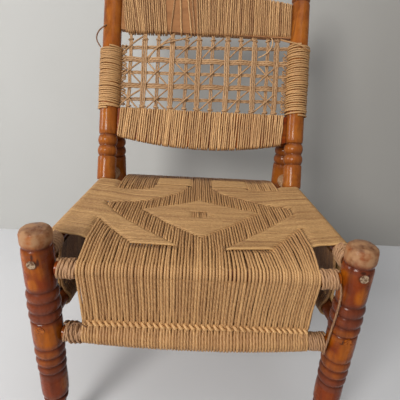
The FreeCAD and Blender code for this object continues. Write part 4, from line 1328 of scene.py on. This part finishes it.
def stage_finish(name, colour, roughness, shade_colour=None):
    """Faintly clouded paint, which may turn towards the right into a darker colour, a painted shade."""
    finish, tree, shader = new_finish(name, colour)
    place = object_place(tree)
    darker = [value * 0.97 for value in colour]
    shade = blended(tree, spread(tree, cloudy(tree, place, 3.0, 2.0), 0.3, 0.7), (*darker, 1), (*colour, 1))
    if shade_colour:
        side = add_node(tree, "ShaderNodeSeparateXYZ", {0: place}).outputs["X"]
        shade = blended(tree, spread(tree, side, -0.15, 0.55), shade, (*shade_colour, 1))
    tree.links.new(shade, shader.inputs["Base Color"])
    shader.inputs["Roughness"].default_value = roughness
    return finish


def stage_sheet(name, corners, finish):
    mesh = bpy.data.meshes.new(name)
    mesh.from_pydata(corners, [], [(0, 1, 2, 3)])
    mesh.materials.append(finish)
    put_in_scene(bpy.data.objects.new(name, mesh))


floor_paint = stage_finish("floor_paint", (0.66, 0.66, 0.67), 0.5)
# the wall darkens to the right: painted shade
wall_paint = stage_finish("wall_paint", (0.48, 0.475, 0.455), 0.8, (0.34, 0.325, 0.30))
stage_sheet("floor", [(-REACH, -REACH, 0), (REACH, -REACH, 0), (REACH, REACH, 0), (-REACH, REACH, 0)],
            floor_paint)
stage_sheet("wall", [(-REACH, WALL_Y, -0.01), (REACH, WALL_Y, -0.01), (REACH, WALL_Y, WALL_TOP),
                     (-REACH, WALL_Y, WALL_TOP)], wall_paint)

# seen from behind the wall is clear, so that the chair's back can be looked at too
wall_tree = wall_paint.node_tree
clear = add_node(wall_tree, "ShaderNodeBsdfTransparent").outputs[0]
behind = add_node(wall_tree, "ShaderNodeNewGeometry").outputs["Backfacing"]
choice = add_node(wall_tree, "ShaderNodeMixShader", {
    0: behind, 1: wall_tree.nodes["Principled BSDF"].outputs[0], 2: clear}).outputs[0]
wall_tree.links.new(choice, wall_tree.nodes["Material Output"].inputs["Surface"])
print("the wall stands", WALL_Y, "m behind the middle of the chair")

# %% Light
def soft_lamp(name, place, aim, size, power, colour=(1, 1, 1)):
    """A round lamp; place and aim are in metres, and power is in watts."""
    data = bpy.data.lights.new(name, "AREA")
    data.shape = "DISK"
    data.size = size
    data.energy = power
    data.color = colour
    lamp = put_in_scene(bpy.data.objects.new(name, data))
    lamp.location = place
    lamp.rotation_euler = (Vector(aim) - Vector(place)).to_track_quat("-Z", "Y").to_euler()


soft_lamp("window", (-1.05, -1.80, 1.30), (0, 0, 0.35), 0.8, 40, (1, 0.985, 0.955))
soft_lamp("side_window", (-2.0, -0.25, 1.0), (0, 0, 0.35), 0.7, 12)
soft_lamp("ceiling", (0.2, -0.5, 2.2), (0, 0, 0.3), 1.6, 9)

# the world lights the chair weakly, but looks brighter itself where the camera sees it
world = bpy.data.worlds.new("room")
world.use_nodes = True
background = world.node_tree.nodes["Background"].inputs
background["Color"].default_value = (0.93, 0.96, 1.0, 1)
sight = add_node(world.node_tree, "ShaderNodeLightPath").outputs["Is Camera Ray"]
world.node_tree.links.new(spread(world.node_tree, sight, 0.0, 1.0, 0.30, 0.62), background["Strength"])
bpy.context.scene.world = world
bpy.context.scene.view_settings.view_transform = "Standard"

# %% Update the view layer
bpy.context.view_layer.update()
